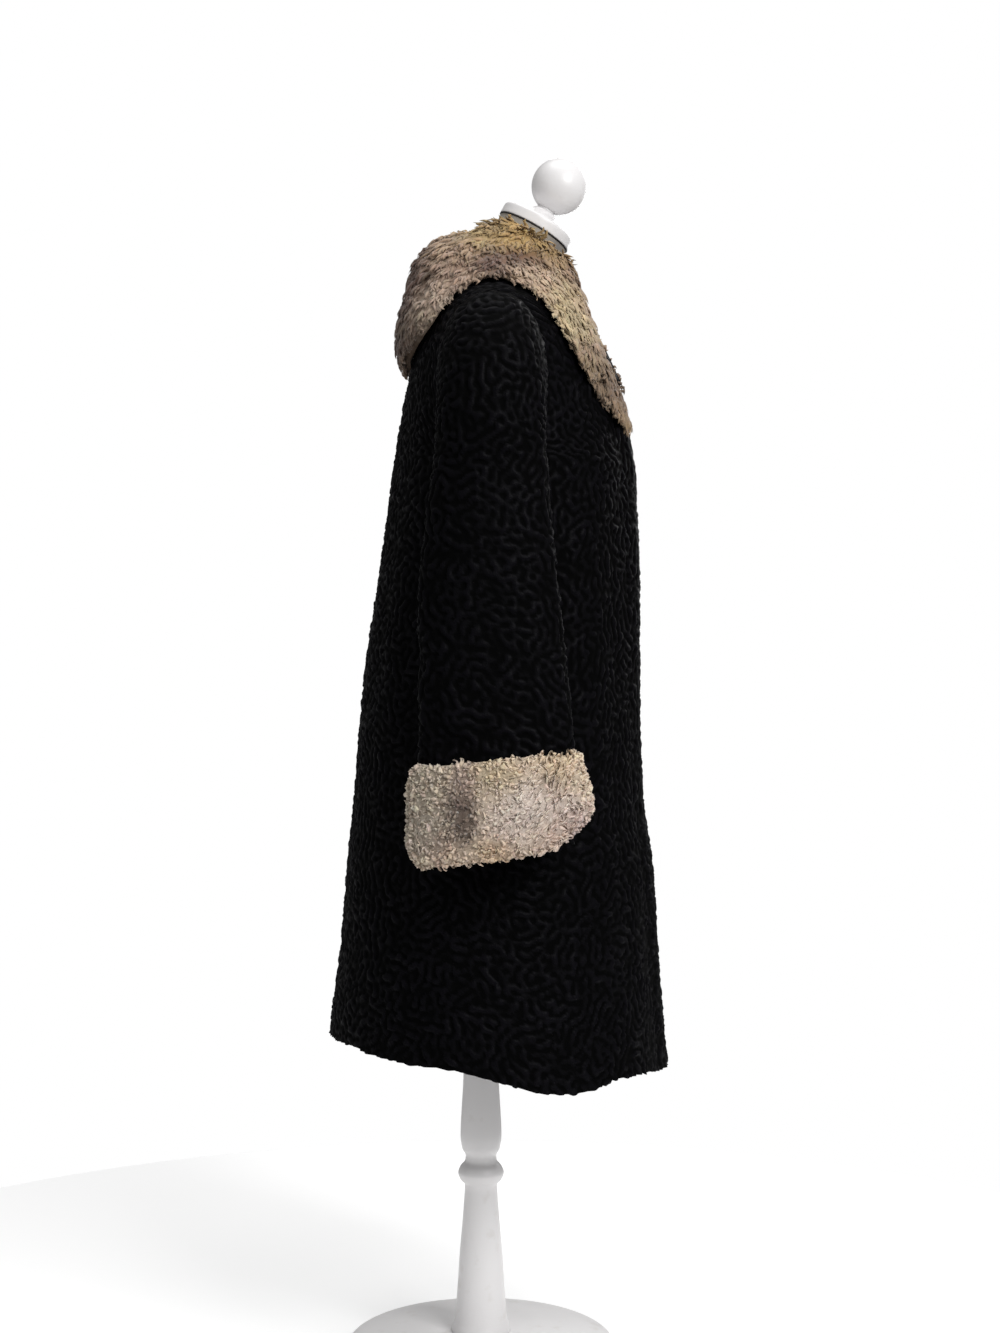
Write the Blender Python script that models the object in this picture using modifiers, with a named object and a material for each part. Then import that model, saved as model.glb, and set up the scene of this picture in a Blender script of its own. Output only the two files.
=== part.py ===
"""Persian lamb coat on a limbless dress form, every piece a solid of its own.

Metres, +Z up.  The wearer faces -Y and the wearer's left is +X.  The origin is the centre of the
foot's flat underside.  The cloth pieces are walls: an outer surface worked out from the tables
below, and the same surface moved in by the wall's thickness.
"""

import math

import bmesh
import bpy
import numpy as np

# ---------------------------------------------------------------- driving sizes
SEAM_GAP = 0.0004            # room between two pieces that meet at a seam
LAMB_WALL = 0.0055           # skin and curl of the black lamb
FULLNESS = 0.93              # 1 makes the coat's sections ellipses, less makes them fuller
FRONT_LAP = 0.030            # how far each front reaches past the centre line
LAP_RISE = LAMB_WALL + 0.0018   # the right front lies this far out over the left one
LAP_BLEND = (-0.096, -0.058)    # x where that rise starts and where it is whole

# Body below the armpit.  spread is the half width, seam_y the place of the side seam.
#   v, back_z, back_y, front_z, front_y, seam_z, seam_y, spread
SKIRT = (
    (0.00, 0.400, 0.1905, 0.3715, -0.2275, 0.3980, -0.0200, 0.2760),
    (0.14, 0.505, 0.1785, 0.4850, -0.2175, 0.5010, -0.0200, 0.2630),
    (0.32, 0.635, 0.1675, 0.6200, -0.2090, 0.6300, -0.0190, 0.2440),
    (0.43, 0.712, 0.1600, 0.7030, -0.1970, 0.7090, -0.0190, 0.2360),
    (0.62, 0.850, 0.1490, 0.8460, -0.1925, 0.8480, -0.0180, 0.2260),
    (0.78, 0.962, 0.1330, 0.9610, -0.1925, 0.9620, -0.0170, 0.2190),
    (1.00, 1.118, 0.1105, 1.1180, -0.1870, 1.1180, -0.0160, 0.2130),
)
HEM_LIFT = 0.011        # rise of the hem halfway between the centre back and the side seam
# Inner edge of the back above the armpit: up the centre back, then round the neckline.
# arm_deg is the armhole's angle at the other end of that row.
#   arm_deg, x, y, z
BACK_YOKE = (
    (0, 0.000, 0.1105, 1.118),
    (30, 0.000, 0.1035, 1.166),
    (60, 0.000, 0.0950, 1.214),
    (90, 0.000, 0.0850, 1.262),
    (120, 0.000, 0.0680, 1.316),
    (135, 0.000, 0.0460, 1.357),
    (150, 0.033, 0.0390, 1.361),
    (165, 0.057, 0.0150, 1.366),
    (180, 0.070, -0.0220, 1.370),
)
# Inner edge of a front above the armpit: up the lap's edge, then round the neckline.
#   arm_deg, x, y, z
FRONT_YOKE = (
    (0, -FRONT_LAP, -0.1870, 1.118),
    (30, -FRONT_LAP, -0.1795, 1.160),
    (60, -FRONT_LAP, -0.1660, 1.204),
    (90, -FRONT_LAP, -0.1480, 1.246),
    (120, -FRONT_LAP, -0.1255, 1.290),
    (135, 0.008, -0.1150, 1.307),
    (150, 0.042, -0.0980, 1.330),
    (165, 0.063, -0.0650, 1.352),
    (180, 0.070, -0.0220, 1.370),
)
# The armhole, an upright loop.  Its angle runs from 0 at the armpit to 180 at the shoulder.
ARMPIT = (0.2130, 1.1180)       # x, z
SHOULDER = (0.2000, 1.3115)     # x, z
ARMHOLE_SCOOP = 0.014           # how far the loop's front and back are cut in
ARMHOLE_MID_Y = -0.016
ARMHOLE_BACK = 0.066            # half depths of the loop
ARMHOLE_FRONT = 0.064
PANEL_END_DEG = ((1.0, 90.0), (1.3, 68.0), (1.6, 52.0), (2.0, 46.0))   # v, end of a row's arc
NECKLINE_START = 1.76           # v just above the row where the centre back meets the neckline

# Sleeve rings, from the armhole down.  A ring leans out by turn_deg about its inner point.
#   s, turn_deg, inner_x, inner_z, reach, back_y, front_y
SLEEVE_RINGS = (
    (0.0, 0.0, 0.2130, 1.1180, 0.1935, 0.0500, -0.0800),
    (1.0, 9.0, 0.2132, 1.1175, 0.1860, 0.0495, -0.0795),
    (2.0, 20.0, 0.2134, 1.1168, 0.1680, 0.0490, -0.0785),
    (3.0, 34.0, 0.2138, 1.1160, 0.1380, 0.0490, -0.0775),
    (4.0, 53.0, 0.2144, 1.1148, 0.1070, 0.0495, -0.0770),
    (5.0, 73.0, 0.2152, 1.1120, 0.0900, 0.0505, -0.0775),
    (6.0, 90.0, 0.2165, 1.1040, 0.0825, 0.0530, -0.0790),
    (7.0, 90.0, 0.2235, 1.0300, 0.0810, 0.0610, -0.0840),
    (8.0, 90.0, 0.2320, 0.9460, 0.0790, 0.0690, -0.0920),
    (9.0, 90.0, 0.2410, 0.8600, 0.0770, 0.0690, -0.1010),
    (10.0, 90.0, 0.2505, 0.7760, 0.0740, 0.0680, -0.1080),
    (11.0, 90.0, 0.2545, 0.7180, 0.0730, 0.0675, -0.1090),
    (12.0, 90.0, 0.2560, 0.6700, 0.0725, 0.0675, -0.1090),
)
SLEEVE_FULLNESS = 0.88
SLEEVE_SEAM = math.radians(60.0)    # each seam lies this far round from the armpit
ARMHOLE_FADE = 3.0                  # the loop's own bend has gone from the sleeve at this s

# Fur cuff: an upright ring round the sleeve's end, its rims rounded.
CUFF_BOTTOM = 0.654
CUFF_TOP = 0.768
CUFF_FRONT_LIFT = 0.10              # rise of both rims for each metre forwards
CUFF_IN_X = 0.2440
CUFF_OUT_X = 0.3430
CUFF_BACK_Y = 0.0810
CUFF_FRONT_Y = -0.1290
CUFF_THIN_SIDE = 0.3                # share of the rims' rounding on the side facing the body
CUFF_ROOM = 0.0020                  # between the sleeve and the cuff
#   v, height (0 bottom, 1 top), inset
CUFF_PROFILE = (
    (0.00, 0.000, 0.0060),
    (0.10, 0.035, 0.0025),
    (0.25, 0.130, 0.0000),
    (0.50, 0.500, -0.0015),
    (0.75, 0.870, 0.0000),
    (0.90, 0.965, 0.0025),
    (1.00, 1.000, 0.0060),
)

# Fur collar, wearer's left half from the centre back (0) to the end on the chest (9).
# A row runs from the neck, over the crest of the roll, and down the fall to the free edge.
COLLAR_NECK = (     # s, x, y, z
    (0, 0.000, 0.0260, 1.394), (1, 0.030, 0.0170, 1.393), (2, 0.049, -0.0120, 1.388),
    (3, 0.057, -0.0360, 1.388), (4, 0.057, -0.0580, 1.380), (5, 0.048, -0.0820, 1.368),
    (6, 0.029, -0.1045, 1.355), (7, 0.006, -0.1180, 1.339), (8, 0.002, -0.1490, 1.284),
    (9, 0.002, -0.1810, 1.217),
)
COLLAR_CREST = (
    (0, 0.000, 0.0360, 1.419), (1, 0.036, 0.0250, 1.420), (2, 0.058, 0.0020, 1.421),
    (3, 0.070, -0.0260, 1.420), (4, 0.072, -0.0540, 1.410), (5, 0.062, -0.0840, 1.396),
    (6, 0.040, -0.1080, 1.382), (7, 0.014, -0.1250, 1.358), (8, 0.007, -0.1550, 1.283),
    (9, 0.005, -0.1855, 1.210),
)
COLLAR_FALL = (
    (0, 0.000, 0.0840, 1.376), (1, 0.054, 0.0790, 1.373), (2, 0.098, 0.0610, 1.364),
    (3, 0.121, 0.0250, 1.371), (4, 0.113, -0.0230, 1.380), (5, 0.100, -0.0790, 1.357),
    (6, 0.075, -0.1230, 1.320), (7, 0.043, -0.1565, 1.277), (8, 0.024, -0.1800, 1.231),
    (9, 0.013, -0.1940, 1.192),
)
COLLAR_BULGE = (
    (0, 0.000, 0.1050, 1.288), (1, 0.062, 0.1020, 1.288), (2, 0.118, 0.0880, 1.298),
    (3, 0.151, 0.0490, 1.317), (4, 0.145, -0.0210, 1.356), (5, 0.134, -0.0920, 1.322),
    (6, 0.105, -0.1380, 1.274), (7, 0.065, -0.1730, 1.232), (8, 0.037, -0.1910, 1.196),
    (9, 0.022, -0.1975, 1.180),
)
COLLAR_EDGE = (
    (0, 0.000, 0.1010, 1.239), (1, 0.062, 0.0980, 1.241), (2, 0.120, 0.0870, 1.258),
    (3, 0.163, 0.0540, 1.289), (4, 0.160, -0.0190, 1.342), (5, 0.157, -0.0990, 1.287),
    (6, 0.125, -0.1380, 1.242), (7, 0.083, -0.1730, 1.199), (8, 0.048, -0.1915, 1.170),
    (9, 0.031, -0.1965, 1.164),
)
COLLAR_STATIONS = (COLLAR_NECK, COLLAR_CREST, COLLAR_FALL, COLLAR_BULGE, COLLAR_EDGE)
COLLAR_ACROSS = (0.0, 0.22, 0.55, 0.82, 1.0)        # place of each of those rows across the fur
COLLAR_THICK = (0.009, 0.012, 0.016, 0.016, 0.008)
COLLAR_CLEAR = 0.0040            # least room between the fur's back and what it lies on
COLLAR_LEAST = 0.0100            # least thickness of fur over the coat

# Dress form, stacked ovals.  tilt_deg leans an oval forwards.
#   v, z, mid_y, half_width, half_depth, tilt_deg
FORM_OVALS = (
    (0.00, 0.620, -0.0150, 0.1480, 0.0960, 0.0),
    (0.03, 0.626, -0.0150, 0.1560, 0.1040, 0.0),
    (0.15, 0.740, -0.0160, 0.1720, 0.1130, 0.0),
    (0.27, 0.850, -0.0180, 0.1520, 0.0980, 0.0),
    (0.36, 0.930, -0.0200, 0.1270, 0.0860, 0.0),
    (0.46, 1.020, -0.0240, 0.1380, 0.0950, 0.0),
    (0.56, 1.110, -0.0320, 0.1580, 0.1120, 0.0),
    (0.66, 1.190, -0.0280, 0.1700, 0.1030, 0.0),
    (0.75, 1.255, -0.0190, 0.1800, 0.0830, 0.0),
    (0.81, 1.290, -0.0160, 0.1780, 0.0670, 0.0),
    (0.86, 1.316, -0.0180, 0.1500, 0.0560, 2.0),
    (0.90, 1.334, -0.0220, 0.1060, 0.0470, 5.0),
    (0.93, 1.347, -0.0280, 0.0700, 0.0430, 10.0),
    (0.96, 1.366, -0.0380, 0.0540, 0.0430, 18.0),
    (1.00, 1.4165, -0.0640, 0.0475, 0.0475, 29.6),
)

# White turned woodwork above and below the form.
CAP_CENTRE = (0.0, -0.0680, 1.4236)
CAP_TILT_DEG = 29.6
CAP_RADIUS = 0.0490
TRIM_THICK = 0.0034
CAP_PROFILE = (     # radius, height; from the stem down the outer side
    (0.0000, 0.0275), (0.0150, 0.0270), (0.0205, 0.0215), (0.0310, 0.0165),
    (0.0420, 0.0140), (0.0475, 0.0120), (0.0490, 0.0095), (0.0490, 0.0015), (0.0480, 0.0004),
    (0.0000, 0.0004),
)
FINIAL_STEM = 0.0110
FINIAL_BALL = 0.0355
FINIAL_BALL_HEIGHT = 0.0640
POST_PROFILE = (    # radius, height; top to bottom
    (0.0000, 0.6190), (0.0200, 0.6190), (0.0205, 0.5500), (0.0212, 0.4000), (0.0225, 0.3450),
    (0.0248, 0.3050), (0.0260, 0.2760), (0.0240, 0.2590), (0.0196, 0.2500), (0.0200, 0.2440),
    (0.0262, 0.2360),
    (0.0290, 0.2280), (0.0262, 0.2200), (0.0205, 0.2130), (0.0225, 0.1800), (0.0275, 0.1200),
    (0.0300, 0.0800), (0.0340, 0.0420), (0.0370, 0.0320), (0.0370, 0.0285), (0.0000, 0.0285),
)
BASE_RADIUS = 0.170
BASE_PROFILE = (    # radius, height; top to bottom
    (0.0000, 0.0280), (0.0600, 0.0280), (0.1300, 0.0240), (0.1580, 0.0200), (0.1670, 0.0150),
    (BASE_RADIUS, 0.0090), (0.1690, 0.0030), (0.1660, 0.0000), (0.0000, 0.0000),
)
ROUND_STEPS = 24

# Faces of each piece.
SKIRT_ROWS = 13
YOKE_ROWS = 12              # also the steps of the sleeve's columns round half the armhole
BACK_COLUMNS = 9            # on each side of the centre back
FRONT_COLUMNS = 11
SLEEVE_STEPS = (0.0, 0.8, 1.7, 2.6, 3.5, 4.4, 5.3, 6.2, 7.2, 8.2, 9.2, 10.2, 11.1, 12.0)
UPPER_COLUMNS = 16
UNDER_COLUMNS = 8
CUFF_COLUMNS = 24
COLLAR_COLUMNS = (6, 8, 8)  # from the centre back to the shoulder, over it, and down the chest
COLLAR_TURNS = (0.0, 3.0, 5.0, 9.0)     # stations where those stretches end
COLLAR_ROWS = 11
FORM_COLUMNS = 24
FORM_ROWS = 20
WELD = 1e-6                 # corners closer than this become one
SHARP_DEG = 40.0            # edges that bend more than this stay sharp

# colour (linear), roughness, metallic
LAMB_BLACK = ((0.010, 0.010, 0.012), 0.55, 0.0)
FUR_CREAM = ((0.62, 0.52, 0.40), 0.90, 0.0)
FORM_CLOTH = ((0.74, 0.70, 0.62), 0.85, 0.0)
WHITE_WOOD = ((0.86, 0.86, 0.86), 0.35, 0.0)
BLACK_BAND = ((0.015, 0.015, 0.016), 0.45, 0.0)


# ---------------------------------------------------------------- numbers from tables
def smooth(table, at):
    """Read a table's columns at the places `at`, by cubics that never overshoot its rows."""
    rows = np.asarray(table, float)
    knots = rows[:, 0]
    values = rows[:, 1:]
    widths = np.diff(knots)[:, None]
    slopes = np.diff(values, axis=0) / widths
    tangents = np.zeros_like(values)
    tangents[0] = slopes[0]
    tangents[-1] = slopes[-1]
    before = slopes[:-1]
    after = slopes[1:]
    same_way = before * after > 0.0
    weight_before = 2.0 * widths[1:] + widths[:-1]
    weight_after = widths[1:] + 2.0 * widths[:-1]
    safe_before = np.where(same_way, before, 1.0)
    safe_after = np.where(same_way, after, 1.0)
    harmonic = (weight_before + weight_after) / (weight_before / safe_before + weight_after / safe_after)
    tangents[1:-1] = np.where(same_way, harmonic, 0.0)
    at = np.clip(np.asarray(at, float), knots[0], knots[-1])
    cell = np.clip(np.searchsorted(knots, at, side="right") - 1, 0, len(knots) - 2)
    width = (knots[cell + 1] - knots[cell])[..., None]
    part = (at - knots[cell])[..., None] / width
    start = values[cell] * (1 + 2 * part) * (1 - part) ** 2
    end = values[cell + 1] * part ** 2 * (3 - 2 * part)
    lean_in = tangents[cell] * width * part * (1 - part) ** 2
    lean_out = tangents[cell + 1] * width * part ** 2 * (part - 1)
    return start + end + lean_in + lean_out


def signed_power(value, power):
    """Raise the size of a number to a power and keep its sign."""
    return np.sign(value) * np.abs(value) ** power


def ease(value, low, high):
    """Go smoothly from 0 at low to 1 at high."""
    part = np.clip((value - low) / (high - low), 0.0, 1.0)
    return part * part * (3.0 - 2.0 * part)


def unit(vectors):
    """Vectors at length one."""
    return vectors / np.maximum(np.linalg.norm(vectors, axis=-1, keepdims=True), 1e-12)


def points(x, y, z):
    """Join three coordinates to points."""
    return np.stack(np.broadcast_arrays(x, y, z), axis=-1)


# ---------------------------------------------------------------- surfaces of the coat
def armhole(angle):
    """Point of the left armhole's loop; a positive angle is on the back half."""
    turned = (np.asarray(angle) + math.pi) % (2.0 * math.pi) - math.pi
    climb = np.abs(turned) / math.pi
    depth = np.where(turned > 0.0, ARMHOLE_BACK, ARMHOLE_FRONT)
    rise = (1.0 - np.cos(turned)) / 2.0
    x = ARMPIT[0] + (SHOULDER[0] - ARMPIT[0]) * climb - ARMHOLE_SCOOP * np.abs(np.sin(turned))
    y = ARMHOLE_MID_Y + depth * signed_power(np.sin(turned), SLEEVE_FULLNESS)
    z = ARMPIT[1] + (SHOULDER[1] - ARMPIT[1]) * rise
    return points(x, y, z)


def panel(v, u, yoke, z_column, side):
    """Point of a body panel on the left.

    v is 0 at the hem, 1 at the armpit and 2 at the shoulder seam.  u is 0 at the panel's inner
    edge and 1 at the side seam or the armhole.  side is 1 for the back and -1 for a front.
    """
    v, u = np.broadcast_arrays(np.asarray(v, float), np.asarray(u, float))
    low = smooth(SKIRT, v)
    high = smooth(yoke, (v - 1.0) * 180.0)
    in_yoke = v > 1.0
    inner_x = high[..., 0]
    inner_y = np.where(in_yoke, high[..., 1], low[..., z_column])
    inner_z = np.where(in_yoke, high[..., 2], low[..., z_column - 1])
    loop = armhole(side * np.clip(v - 1.0, 0.0, 1.0) * math.pi)
    outer_x = np.where(in_yoke, loop[..., 0], low[..., 6])
    outer_y = np.where(in_yoke, loop[..., 1], low[..., 5])
    outer_z = np.where(in_yoke, loop[..., 2], low[..., 4])
    end = np.radians(smooth(PANEL_END_DEG, v)[..., 0])
    full = np.sin(end) ** FULLNESS
    start = np.arcsin(signed_power(inner_x / outer_x * full, 1.0 / FULLNESS))
    angle = start + (end - start) * u
    across = signed_power(np.sin(angle), FULLNESS)
    across = (across - signed_power(np.sin(start), FULLNESS)) / (full - signed_power(np.sin(start), FULLNESS))
    last = np.cos(end) ** FULLNESS
    down = (np.abs(np.cos(angle)) ** FULLNESS - last) / (np.cos(start) ** FULLNESS - last)
    level = np.clip(v - 1.0, 0.0, 1.0)
    x = inner_x + (outer_x - inner_x) * across
    aside = np.abs(inner_x)
    sideways = np.clip((np.abs(x) - aside) / (outer_x - aside), 0.0, 1.0)
    fall = (1.0 - level) * down + level * (1.0 - sideways)
    y = outer_y + (inner_y - outer_y) * down
    z = outer_z + (inner_z - outer_z) * fall
    if side > 0.0:
        z = z + HEM_LIFT * np.sin(math.pi * down) * np.clip(1.0 - v, 0.0, 1.0)
    return points(x, y, z)


def back_surface(v, u):
    """Left half of the back."""
    return panel(v, u, BACK_YOKE, 1, 1.0)


def front_surface(v, u):
    """Left front, its lap included."""
    return panel(v, u, FRONT_YOKE, 3, -1.0)


def sleeve_surface(s, angle):
    """Point of the left sleeve; the angle is 0 on the inner side and positive towards the back."""
    s, angle = np.broadcast_arrays(np.asarray(s, float), np.asarray(angle, float))
    ring = smooth(SLEEVE_RINGS, s)
    turn = np.radians(ring[..., 0])
    out = ring[..., 3] * (1.0 - np.cos(angle)) / 2.0
    middle = ARMHOLE_MID_Y + (ring[..., 4] + ring[..., 5] - 2.0 * ARMHOLE_MID_Y) / 2.0 * ease(s, 0.0, 8.0)
    reach = np.where(np.sin(angle) > 0.0, ring[..., 4] - middle, middle - ring[..., 5])
    bend = (armhole(angle)[..., 0] - ARMPIT[0]) * np.clip(1.0 - s / ARMHOLE_FADE, 0.0, 1.0)
    x = ring[..., 1] + out * np.sin(turn) + bend
    y = middle + reach * signed_power(np.sin(angle), SLEEVE_FULLNESS)
    z = ring[..., 2] + out * np.cos(turn)
    return points(x, y, z)


def facing(surface, a, b, a_range, b_range):
    """Unit normals of a surface, from its slopes in both directions."""
    step = 0.004
    a, b = np.broadcast_arrays(np.asarray(a, float), np.asarray(b, float))
    along_a = surface(np.minimum(a + step, a_range[1]), b) - surface(np.maximum(a - step, a_range[0]), b)
    along_b = surface(a, np.minimum(b + step, b_range[1])) - surface(a, np.maximum(b - step, b_range[0]))
    return unit(np.cross(along_a, along_b))


def back_normals(v, u):
    """Normals of the back that point out."""
    return facing(back_surface, v, u, (0.0, 2.0), (0.0, 1.0))


def front_normals(v, u):
    """Normals of the front that point out."""
    return -facing(front_surface, v, u, (0.0, 2.0), (0.0, 1.0))


def sleeve_normals(s, angle):
    """Normals of the sleeve that point out."""
    return -facing(sleeve_surface, s, angle, (0.0, 12.0), (-10.0, 10.0))


def seam_normals(v, back):
    """Normals of one panel's outer edge, shared with the panel and the sleeve that it meets."""
    edge = np.ones_like(v)
    own = back_normals(v, edge) if back else front_normals(v, edge)
    other = front_normals(v, edge) if back else back_normals(v, edge)
    angle = (1.0 if back else -1.0) * np.clip(v - 1.0, 0.0, 1.0) * math.pi
    arm = sleeve_normals(np.zeros_like(v), angle)
    below = unit(own + other)
    above = unit(own + arm)
    ends = unit(own + other + arm)
    at_end = (np.abs(v - 1.0) < 0.001) | (v > 1.999)
    shared = np.where((v > 1.0)[..., None], above, below)
    return np.where(at_end[..., None], ends, shared)


def panel_grid(v, u, back):
    """Outer points and normals of a panel, its seams' normals shared with its neighbours."""
    vv, uu = np.meshgrid(v, u, indexing="ij")
    spots = back_surface(vv, uu) if back else front_surface(vv, uu)
    normals = back_normals(vv, uu) if back else front_normals(vv, uu)
    other = front_normals(vv, uu) if back else back_normals(vv, uu)
    normals[-1] = unit(normals[-1] + other[-1])
    normals[:, -1] = seam_normals(v, back)
    if back:
        normals[v < NECKLINE_START, 0, 0] = 0.0
        normals = unit(normals)
    return spots, normals


def mirrored(spots):
    """The same points on the wearer's other side."""
    return spots * np.array([-1.0, 1.0, 1.0])


# ---------------------------------------------------------------- fur
def collar_surface(s, t):
    """Outer point of the collar's left half."""
    s, t = np.broadcast_arrays(np.asarray(s, float), np.asarray(t, float))
    lines = np.stack([smooth(across_centre(table), s) for table in COLLAR_STATIONS])
    knots = np.asarray(COLLAR_ACROSS)
    slopes = np.empty_like(lines)
    slopes[1:-1] = (lines[2:] - lines[:-2]) / (knots[2:] - knots[:-2])[:, None, None, None]
    slopes[0] = 2.0 * (lines[1] - lines[0]) / (knots[1] - knots[0]) - slopes[1]
    slopes[-1] = 1.5 * (lines[-1] - lines[-2]) / (knots[-1] - knots[-2]) - 0.5 * slopes[-2]
    cell = np.clip(np.searchsorted(knots, t, side="right") - 1, 0, len(knots) - 2)
    width = knots[cell + 1] - knots[cell]
    part = ((t - knots[cell]) / width)[..., None]
    width = width[..., None]
    rows, columns = np.indices(t.shape)
    start = lines[cell, rows, columns]
    end = lines[cell + 1, rows, columns]
    lean_in = slopes[cell, rows, columns]
    lean_out = slopes[cell + 1, rows, columns]
    place = start * (1 + 2 * part) * (1 - part) ** 2 + end * part ** 2 * (3 - 2 * part)
    return place + width * part * (1 - part) * (lean_in * (1 - part) - lean_out * part)


def across_centre(table):
    """A table of the left half with its second row mirrored before the first one."""
    place, x, y, z = table[1]
    return ((-place, -x, y, z), *table)


def lifted(spots, floor_spots, floor_normals, room):
    """Move points out until each is at least `room` over the nearest floor point."""
    flat = spots.reshape(-1, 3)
    rooms = np.broadcast_to(room, spots.shape[:-1]).reshape(-1)
    moved = flat.copy()
    for index, spot in enumerate(flat):
        gaps = spot - floor_spots
        near = np.argmin(np.sum(gaps * gaps, axis=1))
        height = float(gaps[near] @ floor_normals[near])
        if height < rooms[index]:
            moved[index] = spot + floor_normals[near] * (rooms[index] - height)
    return moved.reshape(spots.shape)


def coat_floor():
    """Dense points and normals of the coat's left half, for the fur to lie on.

    Near the lap the front counts as raised on both sides, so both halves of the fur are alike.
    """
    v = np.concatenate([np.linspace(0.9, 1.0, 4)[:-1], np.linspace(1.0, 2.0, 60)])
    u = np.linspace(0.0, 1.0, 40)
    back_spots, back_facing = panel_grid(v, u, True)
    front_spots, front_facing = panel_grid(v, u, False)
    front_spots = front_spots + front_facing * LAP_RISE * (front_spots[..., :1] < -LAP_BLEND[0])
    spots = np.concatenate([back_spots.reshape(-1, 3), front_spots.reshape(-1, 3)])
    normals = np.concatenate([back_facing.reshape(-1, 3), front_facing.reshape(-1, 3)])
    return spots, normals


def collar_grid(s, t):
    """Outer and inner points of the collar's left half, lying on the coat."""
    ss, tt = np.meshgrid(s, t, indexing="ij")
    outer = collar_surface(ss, tt)
    normals = facing(collar_surface, ss, tt, (0.0, 9.0), (0.0, 1.0))
    normals[s == 0.0, :, 0] = 0.0
    normals = unit(normals)
    thick = np.interp(tt, COLLAR_ACROSS, COLLAR_THICK)[..., None]
    floor_spots, floor_normals = coat_floor()
    inner = outer - normals * thick
    inner = lifted(inner, floor_spots, floor_normals, COLLAR_CLEAR)
    outer = lifted(outer, floor_spots, floor_normals, COLLAR_LEAST)
    outer[..., 0] = np.maximum(outer[..., 0], SEAM_GAP)
    inner[..., 0] = np.maximum(inner[..., 0], SEAM_GAP)
    outer[s == 0.0, :, 0] = 0.0
    inner[s == 0.0, :, 0] = 0.0
    return outer, inner


def cuff_ring(angle, inset, height):
    """Outer point of the left cuff: an upright ring, its rims rising towards the front."""
    low_x = CUFF_IN_X + CUFF_THIN_SIDE * inset
    high_x = CUFF_OUT_X - inset
    middle_y = (CUFF_BACK_Y + CUFF_FRONT_Y) / 2.0
    half_y = (CUFF_BACK_Y - CUFF_FRONT_Y) / 2.0 - inset
    x = (low_x + high_x) / 2.0 - (high_x - low_x) / 2.0 * signed_power(np.cos(angle), SLEEVE_FULLNESS)
    y = middle_y + half_y * signed_power(np.sin(angle), SLEEVE_FULLNESS)
    z = CUFF_BOTTOM + (CUFF_TOP - CUFF_BOTTOM) * height + CUFF_FRONT_LIFT * (middle_y - y)
    return points(x, y, z)


def cuff_grid(angles, v):
    """Outer and inner points of the left cuff."""
    profile = smooth(CUFF_PROFILE, v)
    aa, vv = np.meshgrid(angles, v, indexing="ij")
    height = np.broadcast_to(profile[:, 0], aa.shape)
    inset = np.broadcast_to(profile[:, 1], aa.shape)
    outer = cuff_ring(aa, inset, height)
    sleeve_s = np.interp(-outer[..., 2], [-row[3] for row in SLEEVE_RINGS[6:]],
                         [row[0] for row in SLEEVE_RINGS[6:]])
    inner = sleeve_surface(sleeve_s, aa)
    inner = inner + sleeve_normals(sleeve_s, aa) * CUFF_ROOM
    inner[..., 2] = outer[..., 2]
    return outer, inner


def form_surface(v, angle):
    """Point of the dress form: stacked ovals that lean forwards at the neck."""
    v, angle = np.broadcast_arrays(np.asarray(v, float), np.asarray(angle, float))
    oval = smooth(FORM_OVALS, v)
    lean = np.radians(oval[..., 4])
    forward = oval[..., 3] * np.cos(angle)
    x = oval[..., 2] * np.sin(angle)
    y = oval[..., 1] - forward * np.cos(lean)
    z = oval[..., 0] - forward * np.sin(lean)
    return points(x, y, z)


# ---------------------------------------------------------------- meshes
def clear_scene():
    """Remove every object that the scene starts with."""
    for item in list(bpy.data.objects):
        bpy.data.objects.remove(item, do_unlink=True)


def material(name, finish):
    """A Principled material of one plain colour."""
    colour, roughness, metallic = finish
    made = bpy.data.materials.get(name) or bpy.data.materials.new(name)
    made.use_nodes = True
    shader = made.node_tree.nodes["Principled BSDF"]
    shader.inputs["Base Color"].default_value = (*colour, 1.0)
    shader.inputs["Roughness"].default_value = roughness
    shader.inputs["Metallic"].default_value = metallic
    return made


def add_object(name, mesh, collection, finish):
    """Put a mesh in the collection as a named object with a material of its own."""
    mesh.materials.append(material(f"{name}_finish", finish))
    mesh.shade_smooth()
    mesh.set_sharp_from_angle(angle=math.radians(SHARP_DEG))
    made = bpy.data.objects.new(name, mesh)
    collection.objects.link(made)
    return made


def grid_patch(bm, outer, layers, patch):
    """Add a grid whose corners take the outer points, and note each corner's row and column."""
    rows, columns = outer.shape[:2]
    made = bmesh.ops.create_grid(bm, x_segments=rows - 1, y_segments=columns - 1, size=1.0)
    for corner in made["verts"]:
        row = round((corner.co.x + 1.0) / 2.0 * (rows - 1))
        column = round((corner.co.y + 1.0) / 2.0 * (columns - 1))
        corner[layers[0]] = patch
        corner[layers[1]] = row
        corner[layers[2]] = column
        corner.co = outer[row, column]


def wall(name, patches, collection, finish):
    """A wall between outer and inner points, from one or more grids joined where they touch."""
    bm = bmesh.new()
    layers = [bm.verts.layers.int.new(key) for key in ("patch", "row", "column")]
    for index, (outer, _) in enumerate(patches):
        grid_patch(bm, outer, layers, index)
    bmesh.ops.remove_doubles(bm, verts=bm.verts, dist=WELD)
    bmesh.ops.recalc_face_normals(bm, faces=bm.faces)
    pushed = bmesh.ops.extrude_face_region(bm, geom=bm.faces[:], use_keep_orig=True)
    for corner in (item for item in pushed["geom"] if isinstance(item, bmesh.types.BMVert)):
        inner = patches[corner[layers[0]]][1]
        corner.co = inner[corner[layers[1]], corner[layers[2]]]
    bmesh.ops.recalc_face_normals(bm, faces=bm.faces)
    mesh = bpy.data.meshes.new(name)
    bm.to_mesh(mesh)
    bm.free()
    return add_object(name, mesh, collection, finish)


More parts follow.
